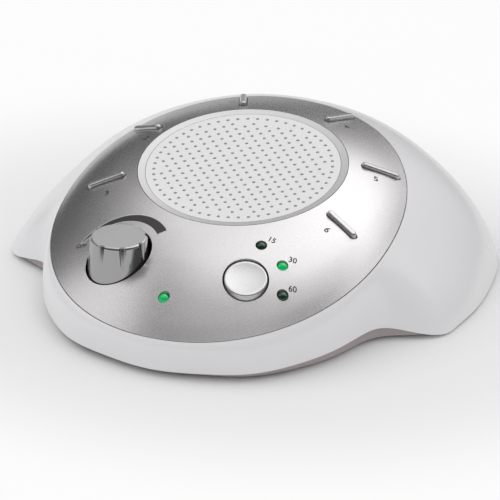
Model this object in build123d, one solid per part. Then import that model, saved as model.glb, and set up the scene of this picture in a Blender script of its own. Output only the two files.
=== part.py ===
"""White noise sound machine: a low domed body with a tilted oval face panel.

Millimetres, +Z up, +Y towards the back, origin on the table under the middle of the body.
Bearings are degrees: -90 is the front, 0 is the right side and 90 is the back.
"""
import math
import os

from build123d import *

# ---------------------------------------------------------------- body outline on the table
# reach of the body's lower edge from the middle, at bearings from the front to the back
OUTLINE_BEARINGS = [-90, -76, -64, -51, -38, -27, -19, -13, -8, -3, 4, 14, 25, 33, 45, 60, 75, 90]
OUTLINE_REACH = [71.5, 70.6, 70.8, 68.2, 65.4, 63.0, 63.9, 69.4, 76.3, 78.2, 79.6, 82.0, 85.3, 88.2,
                 87.2, 79.6, 73.2, 70.8]
# how the wall leaves the rim and meets the table, at bearings from the front to the back:
# shoulder slope, wall slope (degrees), and the stiffness of the curve at its two ends
PROFILE_BEARINGS = [-90, -45, -8, 30, 70, 90]
SHOULDER_SLOPE = [39.7, 38.7, 43.0, 26.5, 14.2, 13.7]
WALL_SLOPE = [86.0, 86.0, 80.0, 85.1, 88.9, 88.9]
SHOULDER_PULL = [0.30, 0.30, 0.17, 0.33, 0.45, 0.45]
WALL_PULL = [0.45, 0.45, 0.34, 0.31, 0.60, 0.60]
# height of the shell's lower edge above the table, arched between front lobe and wing foot
EDGE_BEARINGS = [-90, -60, -40, -26, -16, -8, 0, 10, 20, 90]
EDGE_HEIGHT = [2.6, 3.5, 4.9, 5.7, 4.6, 1.2, 0.8, 0.8, 0.8, 0.8]

# ---------------------------------------------------------------- rim of the face panel
RIM_HALF_WIDTH = 56.1
RIM_HALF_DEPTH = 64.4
RIM_CENTRE_Y = -6.0
RIM_FULLNESS = 2.1
RIM_HEIGHT = 28.84
RIM_TILT = 12.25

# ---------------------------------------------------------------- grille axis
GRILLE_Y = 5.8
GRILLE_HEIGHT = 40.0
GRILLE_TILT = 8.1
GRILLE_RADIUS = 32.0
GRILLE_THICKNESS = 1.2
HOLE_RADIUS = 0.6
HOLE_PITCH = 4.4
HOLE_ROW = 2.3
HOLE_FIELD_RADIUS = GRILLE_RADIUS - 4.6
EDGE_HOLE_CIRCLE = GRILLE_RADIUS - 2.7
EDGE_HOLES = 56

# funnel ring between grille and panel
RING_RADIUS = GRILLE_RADIUS + 2.5
RING_RISE = 0.35
RING_DEPTH = 5.8
RING_FLANGE = 2.4
FLANGE_DROP = 1.3
FLANGE_THICKNESS = 1.0
SHELF_WIDTH = 1.6

# slope of the panel where it leaves the ring, at bearings from the front to the back
CROWN_BEARINGS = [-90, -40, 0, 45, 90]
CROWN_SLOPE = [15.0, 19.0, 18.0, 12.0, 8.0]
CROWN_PULL = 0.35

# ---------------------------------------------------------------- walls and clearances
SHELL_WALL = 2.2
PANEL_THICKNESS = 1.2
LEDGE_WIDTH = 3.5
LEDGE_THICKNESS = 2.0
SEAM = 0.25
SEAT_GAP = 0.1
BASE_FIT = 0.35
BASE_WALL = 1.8
BASE_FLOOR = 2.0
BASE_WALL_TOP = 8.0
FOOT_HEIGHT = 1.2
FOOT_RADIUS = 5.0
FOOT_RECESS = 0.6
RUNNING_GAP = 0.3

# ---------------------------------------------------------------- controls
STATION_RADIUS = 44.9
STATION_BEARINGS = [22.5, 67.5, 112.5]
SLOT_LENGTH = 12.8
SLOT_WIDTH = 2.9
CAP_GAP = 0.3
CAP_PROUD = 1.6
CAP_ROUNDING = 0.8
CAP_LIP = 0.9
CAP_LIP_THICKNESS = 0.8
CAP_BOTTOM = 10.0
KEY_TRAVEL = 0.8
KEY_OVERTRAVEL = 0.7
BOARD_THICKNESS = 1.6
KEY_BOARD_INNER = STATION_RADIUS - 6.9
KEY_BOARD_OUTER = STATION_RADIUS + 6.3
KEY_BOARD_END = 131.0
KEY_POST_BEARINGS = [45.0, 124.0]
POST_RADIUS = 2.1
SWITCH_SIZE = 6.0
SWITCH_HEIGHT = 3.5
PLUNGER_RADIUS = 1.75
PLUNGER_FIT = 0.1
PLUNGER_HOLD = 0.8

CONTROL_X = 22.2
CONTROL_Y = -45.4
KNOB_HOLE_RADIUS = 10.8
KNOB_TOP = 34.0
KNOB_TOP_RADIUS = 9.3
KNOB_BASE_RADIUS = 10.4
KNOB_BASE = 18.6
KNOB_ROUNDING = 0.8
KNOB_WALL = 2.5
KNOB_CROWN = 3.0
KNOB_HUB_WALL = 1.8
KNOB_FLUTES = 8
KNOB_SETTING = 31.0
FLUTE_RADIUS = 1.25
FLUTE_CENTRE = KNOB_TOP_RADIUS + 0.3
FLUTE_LEAN = 11.0
SHAFT_RADIUS = 3.0
SHAFT_FIT = 0.05
SHAFT_FOOT = 12.2
POT_RADIUS = 8.0
POT_HEIGHT = 6.0
BUSHING_WALL = 1.5
BUSHING_HEIGHT = 2.5

TIMER_HOLE_RADIUS = 7.55
TIMER_GAP = 0.55
TIMER_PROUD = 0.4
TIMER_LEVELLING = 6.0
TIMER_TRAVEL = 1.0
TIMER_ROUNDING = 0.4
TIMER_LIP = 1.05
TIMER_LIP_THICKNESS = 1.0
TIMER_BOTTOM = 20.2
TIMER_STEM_RADIUS = 2.5
TIMER_DISH = 0.5
TIMER_DISH_RADIUS = 41.0

LED_PLACES = {"led_power": (-0.8, -58.4), "led_15": (21.9, -31.6), "led_30": (31.0, -35.8),
              "led_60": (34.9, -45.1)}
LED_RADIUS = 1.75
LED_HOLE_RADIUS = 1.9
LED_LENGTH = 5.3
LED_COLLAR = 0.4
LED_COLLAR_HEIGHT = 1.0
LED_PROUD = 0.8
LED_TUBE_WALL = 0.7
LEAD_WIDTH = 0.5
LEAD_PITCH = 1.27

# ---------------------------------------------------------------- loudspeaker, down the grille axis
GRILLE_POCKET = 0.15
GRILLE_SEAT = 0.05
RING_GAP = 0.2
SHELF_DEPTH = 3.0
LIP_RADIUS = GRILLE_RADIUS - 5.0
GASKET_SEAT = 4.0
GASKET_THICKNESS = 0.7
SPEAKER_RADIUS = GRILLE_RADIUS - 3.5
GASKET_INNER = SPEAKER_RADIUS - 2.2
SURROUND_THICKNESS = 0.3
SURROUND_ROLL = 1.6
SPEAKER_FIT = 0.3
FRAME_THICKNESS = 0.8
FRAME_INNER = GASKET_INNER - 1.5
FRAME_SHOULDER = 1.1
BASKET_DEPTH = 7.6
BASKET_RADIUS = 15.3
BASKET_BORE = 6.5
BASKET_WINDOWS = 4
WINDOW_WIDTH = 12.0
WINDOW_MARGIN = 0.6
PLATE_RADIUS = 12.0
PLATE_BORE = 5.2
PLATE_THICKNESS = 1.0
MAGNET_RADIUS = 15.0
MAGNET_BORE = 7.0
MAGNET_THICKNESS = 3.5
YOKE_THICKNESS = 1.2
POLE_RADIUS = 4.4
SPIDER_RADIUS = 13.5
SPIDER_BORE = 5.3
SPIDER_THICKNESS = 0.4
CONE_RADIUS = GASKET_INNER - 4.3
CONE_NECK = 8.0
CONE_DEPTH = 5.3
CONE_THICKNESS = 0.4
COIL_RADIUS = 4.95
COIL_THICKNESS = 0.3
COIL_DROP = 10.0
TAG_LENGTH = 8.0
TAG_WIDTH = 2.0
TAG_THICKNESS = 1.0
TAG_RADIUS = SPEAKER_RADIUS - 0.3
DUST_CAP_RISE = 1.6
SPEAKER_SCREWS = [90, 210, 330]
SPEAKER_SCREW_CIRCLE = SPEAKER_RADIUS + 2.4
SPEAKER_SCREW_BLIND = 0.4

# ---------------------------------------------------------------- boards, screws and battery bay
MAIN_BOARD_BOTTOM = 8.0
MAIN_BOARD_INSET = 8.0
MAIN_BOARD_BACK = -14.0
MAIN_BOARD_HALF = 44.5
SCREW_MARGIN = 4.5
MAIN_SCREWS = [(SCREW_MARGIN - MAIN_BOARD_HALF, MAIN_BOARD_BACK - SCREW_MARGIN),
               (MAIN_BOARD_HALF - SCREW_MARGIN, MAIN_BOARD_BACK - SCREW_MARGIN),
               (-10.0, -55.5), (10.0, -55.5)]
CHIPS = [(6, 18, -25, -18, 1.6), (-18, -9, -25, -19, 1.6), (-3, 5, -40, -34, 2.2)]
CAPACITORS = [(2.0, -49.0), (9.0, -46.0), (-36.0, -32.0)]
CAPACITOR_RADIUS = 3.2
CAPACITOR_HEIGHT = 8.0
SCREW_SHANK = 1.0
SCREW_HEAD = 2.3
SCREW_HEAD_HEIGHT = 1.5
SCREW_PLAY = 0.05
SCREW_END_GAP = 0.5
SLOT_SHARE = 0.6
SLOT_HALF_WIDTH = 0.25
SLOT_FLOOR = 0.45
BOARD_HOLE_PLAY = 0.25
THREAD_LENGTH = 4.5
STAND_RADIUS = 3.0
CASE_SCREWS = [(-36.0, -51.4), (36.0, -51.4), (-60.0, 28.0), (60.0, 28.0)]
CASE_SHANK = 1.4
CASE_HEAD = 2.8
CASE_HEAD_HEIGHT = 1.8
CASE_BOSS = 3.4
CASE_PAD = 4.6
CASE_PAD_TOP = 5.2
CASE_THREAD = 7.0
CASE_END_GAP = 1.0
FEET = [(-25.0, -51.0), (25.0, -51.0), (-55.0, 48.0), (55.0, 48.0)]

CELL_RADIUS = 7.1
CELL_LENGTH = 49.2
NUB_RADIUS = 2.6
NUB_LENGTH = 1.2
CELL_COUNT = 4
CELL_PITCH = 14.5
SPRING_LENGTH = 6.0
SPRING_RADIUS = 2.8
SPRING_WIRE = 0.35
SPRING_TURNS = 4
CONTACT_THICKNESS = 0.4
CONTACT_SIZE = 10.0
BAY_FRONT = 4.0
BAY_WALL = 1.4
BAY_ROOF = 1.2
DOOR_THICKNESS = 1.4
DOOR_REST = 2.0
DOOR_GAP = 0.3
GRIP_RIBS = 4
GRIP_PITCH = 2.4
GRIP_DEPTH = 0.4
GRIP_WIDTH = 18.0

JACK_X = -37.0
JACK_HEIGHT = 13.5
JACK_COLLAR = 4.4
JACK_SOCKET = 3.1
JACK_PIN = 1.0
JACK_PIN_ROOT = 2.0
JACK_PIN_SUNK = 1.0
JACK_DEPTH = 9.5
JACK_BODY = 9.0
JACK_BACK = 56.0
JACK_SEAT = 64.6
JACK_MOUTH = 69.3
JACK_FLANGE = 0.6
JACK_FLANGE_THICKNESS = 0.8
JACK_GAP = 0.2
WIRE_RADIUS = 0.6
WIRE_SPREAD = 1.2
SPEAKER_WIRE_SPREAD = 2.6
BATTERY_WIRE_X = -24.0
BATTERY_WIRE_HEIGHT = 14.0
RIBBON_X = 29.5
RIBBON_PLACE = 24.2
RIBBON_SAG = 1.6
RIBBON_THICKNESS = 0.8
RIBBON_WIDTH = 5.0

N_OUTLINE = 72
PROFILE_STEPS = [0, 0.12, 0.3, 0.5, 0.7, 0.86, 1]
CROWN_STEPS = [0, 0.25, 0.5, 0.75, 1]
TRIM_INNER = 30.0
TRIM_OUTER = 120.0


# ================================================================ helpers
def smooth_table(xs, ys):
    """The cubic spline through a table's values, level at both ends."""
    gaps = [b - a for a, b in zip(xs, xs[1:])]
    rates = [(b - a) / g for a, b, g in zip(ys, ys[1:], gaps)]
    carries, rests = [0.0], [0.0]
    for g0, g1, d0, d1 in zip(gaps, gaps[1:], rates, rates[1:]):
        pivot = 2 / g0 + 2 / g1 - carries[-1] / g0
        rests.append((3 * (d0 / g0 + d1 / g1) - rests[-1] / g0) / pivot)
        carries.append(1 / g1 / pivot)
    slopes = [0.0]
    for carry, rest in zip(reversed(carries[1:]), reversed(rests[1:])):
        slopes.append(rest - carry * slopes[-1])
    slopes = [0.0] + slopes[::-1]

    def value(x):
        i = max(k for k in range(len(gaps)) if k == 0 or xs[k] <= x)
        t = (x - xs[i]) / gaps[i]
        start = ys[i] * (1 + 2 * t) * (1 - t) ** 2 + slopes[i] * gaps[i] * t * (1 - t) ** 2
        end = ys[i + 1] * t * t * (3 - 2 * t) + slopes[i + 1] * gaps[i] * t * t * (t - 1)
        return start + end

    return value


outline_reach = smooth_table(OUTLINE_BEARINGS, OUTLINE_REACH)
shoulder_slope = smooth_table(PROFILE_BEARINGS, SHOULDER_SLOPE)
wall_slope = smooth_table(PROFILE_BEARINGS, WALL_SLOPE)
shoulder_pull = smooth_table(PROFILE_BEARINGS, SHOULDER_PULL)
wall_pull = smooth_table(PROFILE_BEARINGS, WALL_PULL)
edge_height = smooth_table(EDGE_BEARINGS, EDGE_HEIGHT)
crown_slope = smooth_table(CROWN_BEARINGS, CROWN_SLOPE)


def rim_plane(y):
    """Height of the tilted plane that holds the panel's rim."""
    return RIM_HEIGHT + math.tan(math.radians(RIM_TILT)) * y


def oval_reach(bearing, centre_y=0.0):
    """Distance from (0, centre_y) to the rim oval, along a bearing in radians."""
    c, s = math.cos(bearing), math.sin(bearing)
    low, high = 0.0, 2 * RIM_HALF_DEPTH
    for _ in range(48):
        mid = (low + high) / 2
        across = abs(mid * c) / RIM_HALF_WIDTH
        along = abs(mid * s + centre_y - RIM_CENTRE_Y) / RIM_HALF_DEPTH
        inside = across ** RIM_FULLNESS + along ** RIM_FULLNESS < 1
        low, high = (mid, high) if inside else (low, mid)
    return low


def loop(points):
    """A closed smooth wire through points, one span for each."""
    steps = [k / len(points) for k in range(len(points) + 1)]
    return Wire([Edge.make_spline(points, periodic=True, parameters=steps)])


def bearings():
    return [2 * math.pi * i / N_OUTLINE for i in range(N_OUTLINE)]


def half_bearing(b):
    """The mirrored bearing in degrees, -90 to 90, that the tables use."""
    return math.degrees(math.asin(max(-1.0, min(1.0, math.sin(b)))))


def bezier(ends, t):
    weights = ((1 - t) ** 3, 3 * t * (1 - t) ** 2, 3 * t * t * (1 - t), t ** 3)
    return tuple(sum(w * p[k] for w, p in zip(weights, ends)) for k in range(len(ends[0])))


def body_section(t, inset, drop, below):
    """One loop of the body's wall: t is 0 at the rim and 1 at the table."""
    points = []
    for b in bearings():
        e = half_bearing(b)
        start_slope, end_slope = math.radians(shoulder_slope(e)), math.radians(wall_slope(e))
        r0 = oval_reach(b) - inset
        start = (r0, rim_plane(r0 * math.sin(b)) - drop)
        end = (outline_reach(e) - inset, -below)
        chord = math.dist(start, end)
        pull0, pull1 = shoulder_pull(e) * chord, wall_pull(e) * chord
        p1 = (start[0] + pull0 * math.cos(start_slope), start[1] - pull0 * math.sin(start_slope))
        p2 = (end[0] - pull1 * math.cos(end_slope), end[1] + pull1 * math.sin(end_slope))
        r, z = bezier((start, p1, p2, end), t)
        points.append((r * math.cos(b), r * math.sin(b), z))
    return loop(points)


def body_solid(inset=0.0, drop=0.0, below=0.0):
    """The whole body under the rim plane, or an inner copy of it set in by a wall."""
    return Solid.make_loft([body_section(t, inset, drop, below) for t in PROFILE_STEPS])


def rim_prism(inset, drop, height):
    """An upright prism over the rim oval, from the rim plane lowered by drop."""
    points = []
    for b in bearings():
        r = oval_reach(b) - inset
        points.append((r * math.cos(b), r * math.sin(b), rim_plane(r * math.sin(b)) - drop))
    return Solid.extrude(Face(loop(points)), (0, 0, height))


grille_frame = Plane(origin=(0, GRILLE_Y, GRILLE_HEIGHT), x_dir=(1, 0, 0),
                     z_dir=(0, -math.sin(math.radians(GRILLE_TILT)),
                            math.cos(math.radians(GRILLE_TILT)))).location


def grille_point(radius, angle, h):
    """World place of a point given by radius, angle from +X and height on the grille axis."""
    tilt = math.radians(GRILLE_TILT)
    x, y = radius * math.cos(angle), radius * math.sin(angle)
    return (x, GRILLE_Y + y * math.cos(tilt) - h * math.sin(tilt),
            GRILLE_HEIGHT + y * math.sin(tilt) + h * math.cos(tilt))


def block(x0, x1, y0, y1, z0, z1, frame=Location()):
    box = Box(x1 - x0, y1 - y0, z1 - z0, align=(Align.MIN, Align.MIN, Align.MIN))
    return frame * Pos(x0, y0, z0) * box


def rod(radius, z0, z1, x=0.0, y=0.0, frame=Location()):
    column = Cylinder(radius, z1 - z0, align=(Align.CENTER, Align.CENTER, Align.MIN))
    return frame * Pos(x, y, z0) * column


def turned(points, frame=Location()):
    """A solid turned about the frame's Z axis from (radius, height) corners."""
    corners = [(r, 0, z) for r, z in points]
    face = make_face(Polyline(*corners, close=True))
    return frame * revolve(face, Axis.Z)


def save(solids, node):
    """Write one node: a list of solids, or one."""
    pieces = []
    for piece in solids if isinstance(solids, list) else [solids]:
        pieces += list(piece.solids())
    shape = pieces[0] if len(pieces) == 1 else Compound(children=pieces)
    export_step(shape, f"parts/{node}.step")
    return shape


# ================================================================ face panel and shells
def crown_ends(b):
    """Curve of the crown along one bearing: ring point, two guides and rim point."""
    e = half_bearing(b)
    start = grille_point(RING_RADIUS, b, RING_RISE)
    r = oval_reach(b, GRILLE_Y)
    end_x, end_y = r * math.cos(b), GRILLE_Y + r * math.sin(b)
    end = (end_x, end_y, rim_plane(end_y))
    run = math.dist(start[:2], end[:2])
    ux, uy = (end[0] - start[0]) / run, (end[1] - start[1]) / run
    pull = CROWN_PULL * math.dist(start, end)
    a0, a1 = math.radians(crown_slope(e)), math.radians(shoulder_slope(e))
    guide0 = (start[0] + pull * math.cos(a0) * ux, start[1] + pull * math.cos(a0) * uy,
              start[2] - pull * math.sin(a0))
    guide1 = (end[0] - pull * math.cos(a1) * ux, end[1] - pull * math.cos(a1) * uy,
              end[2] + pull * math.sin(a1))
    return start, guide0, guide1, end


def crown_solid():
    """The dome between the ring's circle and the rim plane."""
    loops = []
    for t in CROWN_STEPS:
        loops.append(loop([bezier(crown_ends(b), t) for b in bearings()]))
    return Solid.make_loft(loops)


def crown_height(x, y):
    """Height of the panel's surface over a place on the table."""
    ends = crown_ends(math.atan2(y - GRILLE_Y, x))
    wanted = math.dist((x, y), (0, GRILLE_Y))
    low, high = 0.0, 1.0
    for _ in range(40):
        mid = (low + high) / 2
        px, py, _z = bezier(ends, mid)
        low, high = (mid, high) if math.dist((px, py), (0, GRILLE_Y)) < wanted else (low, mid)
    return bezier(ends, low)[2]


def crown_slopes(x, y):
    """How fast the panel's surface rises along X and along Y."""
    return ((crown_height(x + 1, y) - crown_height(x - 1, y)) / 2,
            (crown_height(x, y + 1) - crown_height(x, y - 1)) / 2)


def crown_drop(radius, angle):
    """Depth of the panel's surface under the grille plane, at a radius from the grille axis."""
    drop = 0.0
    for _ in range(30):
        x, y, z = grille_point(radius, angle, -drop)
        drop -= (crown_height(x, y) - z) / math.cos(math.radians(GRILLE_TILT))
    return drop


def stations():
    """Bearing and side of each sound button, from the back round to the front."""
    return [(bearing, side) for side in (-1, 1) for bearing in STATION_BEARINGS]


def station(bearing, side):
    """Frame at a button or post: x runs outwards, z runs up the grille axis."""
    return grille_frame * Rot(0, 0, 90 - side * bearing) * Pos(STATION_RADIUS, 0, 0)


def station_surface(bearing, side):
    """Depth of the panel at a station, and its slope outwards in degrees."""
    angle = math.radians(90 - side * bearing)
    inner = crown_drop(STATION_RADIUS - SLOT_LENGTH / 2, angle)
    outer = crown_drop(STATION_RADIUS + SLOT_LENGTH / 2, angle)
    return (inner + outer) / 2, math.degrees(math.atan2(outer - inner, SLOT_LENGTH))


def above(drop, slope):
    """All that lies over a surface that falls outwards, in a station's frame."""
    reach = 2 * SLOT_LENGTH
    return Pos(0, 0, -drop) * Rot(0, slope, 0) * block(-reach, reach, -reach, reach, 0, reach)


def slot_prism(grow, z0, z1):
    sketch = SlotOverall(SLOT_LENGTH + 2 * grow, SLOT_WIDTH + 2 * grow)
    return Pos(0, 0, z0) * extrude(sketch, z1 - z0)


KEY_BOARD_TOP = CAP_BOTTOM + KEY_TRAVEL + KEY_OVERTRAVEL + SWITCH_HEIGHT


def key_posts():
    return [station(bearing, side) for side in (-1, 1) for bearing in KEY_POST_BEARINGS]


def make_panel():
    crown = crown_solid()
    skin = [face for face in crown.faces() if face.geom_type == GeomType.BSPLINE][0]
    panel = Solid.extrude(skin, (0, 0, -PANEL_THICKNESS))
    panel -= rod(RING_RADIUS + RING_GAP, -GRILLE_RADIUS, GRILLE_RADIUS, frame=grille_frame)
    for bearing, side in stations():
        panel -= station(bearing, side) * slot_prism(0, -GRILLE_RADIUS, GRILLE_RADIUS)
    panel -= rod(KNOB_HOLE_RADIUS, 0, 2 * KNOB_TOP, -CONTROL_X, CONTROL_Y)
    panel -= rod(TIMER_HOLE_RADIUS, 0, 2 * KNOB_TOP, CONTROL_X, CONTROL_Y)
    for x, y in LED_PLACES.values():
        panel -= rod(LED_HOLE_RADIUS, 0, 2 * KNOB_TOP, x, y)
    for side in (-1, 1):
        for bearing in KEY_POST_BEARINGS:
            drop, slope = station_surface(bearing, side)
            post = rod(POST_RADIUS, -KEY_BOARD_TOP, 0) - above(drop + PANEL_THICKNESS / 2, slope)
            pilot = rod(SCREW_SHANK + SCREW_PLAY, -KEY_BOARD_TOP, THREAD_LENGTH - KEY_BOARD_TOP)
            panel += station(bearing, side) * (post - pilot)
    return panel


def edge_trim():
    """What lies under the shell's wavy lower edge."""
    rings = []
    steps = [k / N_OUTLINE for k in range(N_OUTLINE + 1)]
    for radius in (TRIM_INNER, TRIM_OUTER):
        points = []
        for b in bearings():
            points.append((radius * math.cos(b), radius * math.sin(b), edge_height(half_bearing(b))))
        rings.append(Edge.make_spline(points, periodic=True, parameters=steps))
    strip = Face.make_surface_from_curves(rings[0], rings[1])
    return Solid.extrude(strip, (0, 0, -TRIM_INNER))


def make_shell():
    seat = PANEL_THICKNESS + SEAT_GAP
    shell = body_solid() - body_solid(SHELL_WALL, seat + LEDGE_THICKNESS, 1.0)
    shell -= rim_prism(-SEAM, seat, 3 * PANEL_THICKNESS)
    shell -= rim_prism(LEDGE_WIDTH, 5 * PANEL_THICKNESS, 10 * PANEL_THICKNESS)
    core = body_solid(SHELL_WALL / 2, seat + LEDGE_THICKNESS / 2, 1.0)
    for x, y in CASE_SCREWS:
        boss = rod(CASE_BOSS, CASE_PAD_TOP + SEAT_GAP, KNOB_TOP, x, y)
        shell += boss & core
    shell -= edge_trim()
    for x, y in CASE_SCREWS:
        bottom = CASE_PAD_TOP + SEAT_GAP
        shell -= rod(CASE_SHANK + SCREW_PLAY, bottom - 1, bottom + CASE_THREAD, x, y)
    for bearing, side in stations():
        notch = slot_prism(CAP_LIP + RUNNING_GAP, -CAP_BOTTOM - KEY_TRAVEL - RUNNING_GAP, 0)
        shell -= station(bearing, side) * notch
    jack_hole = rod(JACK_COLLAR + JACK_GAP, 0, 2 * JACK_MOUTH, frame=jack_frame)
    return shell - jack_hole


# the socket's frame: z runs out of the back wall
jack_frame = Plane(origin=(JACK_X, 0, JACK_HEIGHT), x_dir=(-1, 0, 0), z_dir=(0, 1, 0)).location


# ================================================================ base and battery bay
FLOOR_TOP = FOOT_HEIGHT + BASE_FLOOR
BAY_LENGTH = CELL_LENGTH + NUB_LENGTH + SPRING_LENGTH + 2 * CONTACT_THICKNESS
BAY_HALF = BAY_LENGTH / 2
BAY_BACK = BAY_FRONT + CELL_COUNT * CELL_PITCH
DOOR_TOP = FOOT_HEIGHT + DOOR_THICKNESS
CELL_HEIGHT = DOOR_TOP + RUNNING_GAP + CELL_RADIUS
BAY_TOP = CELL_HEIGHT + CELL_RADIUS + RUNNING_GAP
MAIN_BOARD_TOP = MAIN_BOARD_BOTTOM + BOARD_THICKNESS


def inner_body(wall, z0, z1):
    """A slice of the body's inside, set in by a wall."""
    reach = 2 * OUTLINE_REACH[0]
    body = body_solid(wall, PANEL_THICKNESS + SEAT_GAP + LEDGE_THICKNESS, 1.0)
    return body & block(-reach, reach, -reach, reach, z0, z1)


def make_base():
    fit = SHELL_WALL + BASE_FIT
    tray = inner_body(fit, FOOT_HEIGHT, BASE_WALL_TOP) - inner_body(fit + BASE_WALL, FLOOR_TOP, KNOB_TOP)
    pad_room = inner_body(fit + BASE_WALL / 2, FOOT_HEIGHT, BASE_WALL_TOP)
    root = FLOOR_TOP - BASE_FLOOR / 2
    added = [rod(CASE_PAD, root, CASE_PAD_TOP, x, y) & pad_room for x, y in CASE_SCREWS]
    added += [rod(STAND_RADIUS, root, MAIN_BOARD_BOTTOM, x, y) for x, y in MAIN_SCREWS]
    added.append(block(-BAY_HALF - BAY_WALL, BAY_HALF + BAY_WALL, BAY_FRONT - BAY_WALL,
                       BAY_BACK + BAY_WALL, root, BAY_TOP + BAY_ROOF))
    added.append(block(JACK_X - JACK_BODY / 2, JACK_X + JACK_BODY / 2, JACK_BACK,
                       JACK_SEAT - JACK_FLANGE_THICKNESS, root, JACK_HEIGHT - JACK_BODY / 2))
    rest = DOOR_REST + DOOR_GAP
    cut = [block(-BAY_HALF, BAY_HALF, BAY_FRONT, BAY_BACK, 0, BAY_TOP),
           block(-BAY_HALF - rest, BAY_HALF + rest, BAY_FRONT - rest, BAY_BACK + rest,
                 0, DOOR_TOP + SEAT_GAP)]
    head_room = FOOT_HEIGHT + CASE_HEAD_HEIGHT + SEAT_GAP
    for x, y in CASE_SCREWS:
        cut.append(rod(CASE_SHANK + BOARD_HOLE_PLAY, 0, CASE_PAD_TOP, x, y))
        cut.append(rod(CASE_HEAD + BOARD_HOLE_PLAY, 0, head_room, x, y))
        cut.append(rod(CASE_BOSS + RUNNING_GAP, CASE_PAD_TOP, KNOB_TOP, x, y))
    for x, y in MAIN_SCREWS:
        cut.append(rod(SCREW_SHANK + SCREW_PLAY, MAIN_BOARD_BOTTOM - THREAD_LENGTH, MAIN_BOARD_BOTTOM,
                       x, y))
    for x, y in FEET:
        cut.append(rod(FOOT_RADIUS + SEAT_GAP, 0, FOOT_HEIGHT + FOOT_RECESS, x, y))
    return tray + added - cut


def make_door():
    door = block(-BAY_HALF - DOOR_REST, BAY_HALF + DOOR_REST, BAY_FRONT - DOOR_REST,
                 BAY_BACK + DOOR_REST, FOOT_HEIGHT, DOOR_TOP)
    for i in range(GRIP_RIBS):
        y = BAY_FRONT + DOOR_REST + i * GRIP_PITCH
        door -= block(-GRIP_WIDTH / 2, GRIP_WIDTH / 2, y, y + GRIP_PITCH / 2, 0,
                      FOOT_HEIGHT + GRIP_DEPTH)
    return door


def cell_ways():
    """Place across the bay and direction of each cell, turn about."""
    return [(BAY_FRONT + CELL_PITCH * (i + 0.5), 1 if i % 2 == 0 else -1) for i in range(CELL_COUNT)]


def cell_frame(y, way):
    """z runs along a cell towards its nub."""
    return Plane(origin=(0, y, CELL_HEIGHT), x_dir=(0, 1, 0), z_dir=(way, 0, 0)).location


def make_cells():
    cells = []
    nub_end = BAY_HALF - CONTACT_THICKNESS
    for y, way in cell_ways():
        can = rod(CELL_RADIUS, nub_end - NUB_LENGTH - CELL_LENGTH, nub_end - NUB_LENGTH)
        nub = rod(NUB_RADIUS, nub_end - NUB_LENGTH, nub_end)
        cells.append(cell_frame(y, way) * (can + nub))
    return cells


def make_contacts():
    half = CONTACT_SIZE / 2
    plates = []
    for y, _way in cell_ways():
        for x in (-BAY_HALF, BAY_HALF - CONTACT_THICKNESS):
            plates.append(block(x, x + CONTACT_THICKNESS, y - half, y + half,
                                CELL_HEIGHT - half, CELL_HEIGHT + half))
    return plates


def make_springs():
    springs = []
    rise = SPRING_LENGTH - 2 * SPRING_WIRE - 2 * SEAT_GAP
    path = Edge.make_helix(rise / SPRING_TURNS, rise, SPRING_RADIUS)
    start = Plane(origin=path @ 0, z_dir=path % 0)
    coil = sweep(start * Circle(SPRING_WIRE), path=path, is_frenet=True)
    for y, way in cell_ways():
        bottom = CONTACT_THICKNESS - BAY_HALF + SPRING_WIRE + SEAT_GAP
        springs.append(cell_frame(y, way) * Pos(0, 0, bottom) * coil)
    return springs


def make_feet():
    return [rod(FOOT_RADIUS, 0, FOOT_HEIGHT + FOOT_RECESS, x, y) for x, y in FEET]


def screw(shank, head, head_height, length):
    """A pan-head screw: the head, with its cross slot, lies under z = 0 and the shank stands on it."""
    body = rod(head, -head_height, 0) + rod(shank, 0, length)
    for turn in (0, 90):
        body -= Rot(0, 0, turn) * block(-head * SLOT_SHARE, head * SLOT_SHARE, -SLOT_HALF_WIDTH,
                                        SLOT_HALF_WIDTH, -head_height, -head_height * SLOT_FLOOR)
    return body


def make_case_screws():
    base = FOOT_HEIGHT + CASE_HEAD_HEIGHT + SEAT_GAP
    length = CASE_PAD_TOP + SEAT_GAP + CASE_THREAD - base - CASE_END_GAP
    return [Pos(x, y, base) * screw(CASE_SHANK, CASE_HEAD, CASE_HEAD_HEIGHT, length)
            for x, y in CASE_SCREWS]


# ================================================================ ring, grille and loudspeaker
def make_ring():
    flange_top = PANEL_THICKNESS + FLANGE_DROP
    flange_end = flange_top + FLANGE_THICKNESS
    pocket = GRILLE_RADIUS + GRILLE_POCKET
    shelf = GRILLE_RADIUS - SHELF_WIDTH
    seat = GRILLE_THICKNESS + GRILLE_SEAT
    wall = SPEAKER_RADIUS + SPEAKER_FIT
    ring = turned([(RING_RADIUS, RING_RISE), (pocket, 0), (pocket, -seat), (shelf, -seat),
                   (shelf, -SHELF_DEPTH), (LIP_RADIUS, -SHELF_DEPTH), (LIP_RADIUS, -GASKET_SEAT),
                   (wall, -GASKET_SEAT), (wall, -RING_DEPTH), (RING_RADIUS, -RING_DEPTH),
                   (RING_RADIUS, -flange_end), (RING_RADIUS + RING_FLANGE, -flange_end),
                   (RING_RADIUS + RING_FLANGE, -flange_top), (RING_RADIUS, -flange_top)])
    for angle in SPEAKER_SCREWS:
        ring -= Rot(0, 0, angle) * rod(SCREW_SHANK + SCREW_PLAY, -RING_DEPTH,
                                       SPEAKER_SCREW_BLIND - SHELF_DEPTH, SPEAKER_SCREW_CIRCLE)
    return grille_frame * ring


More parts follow.
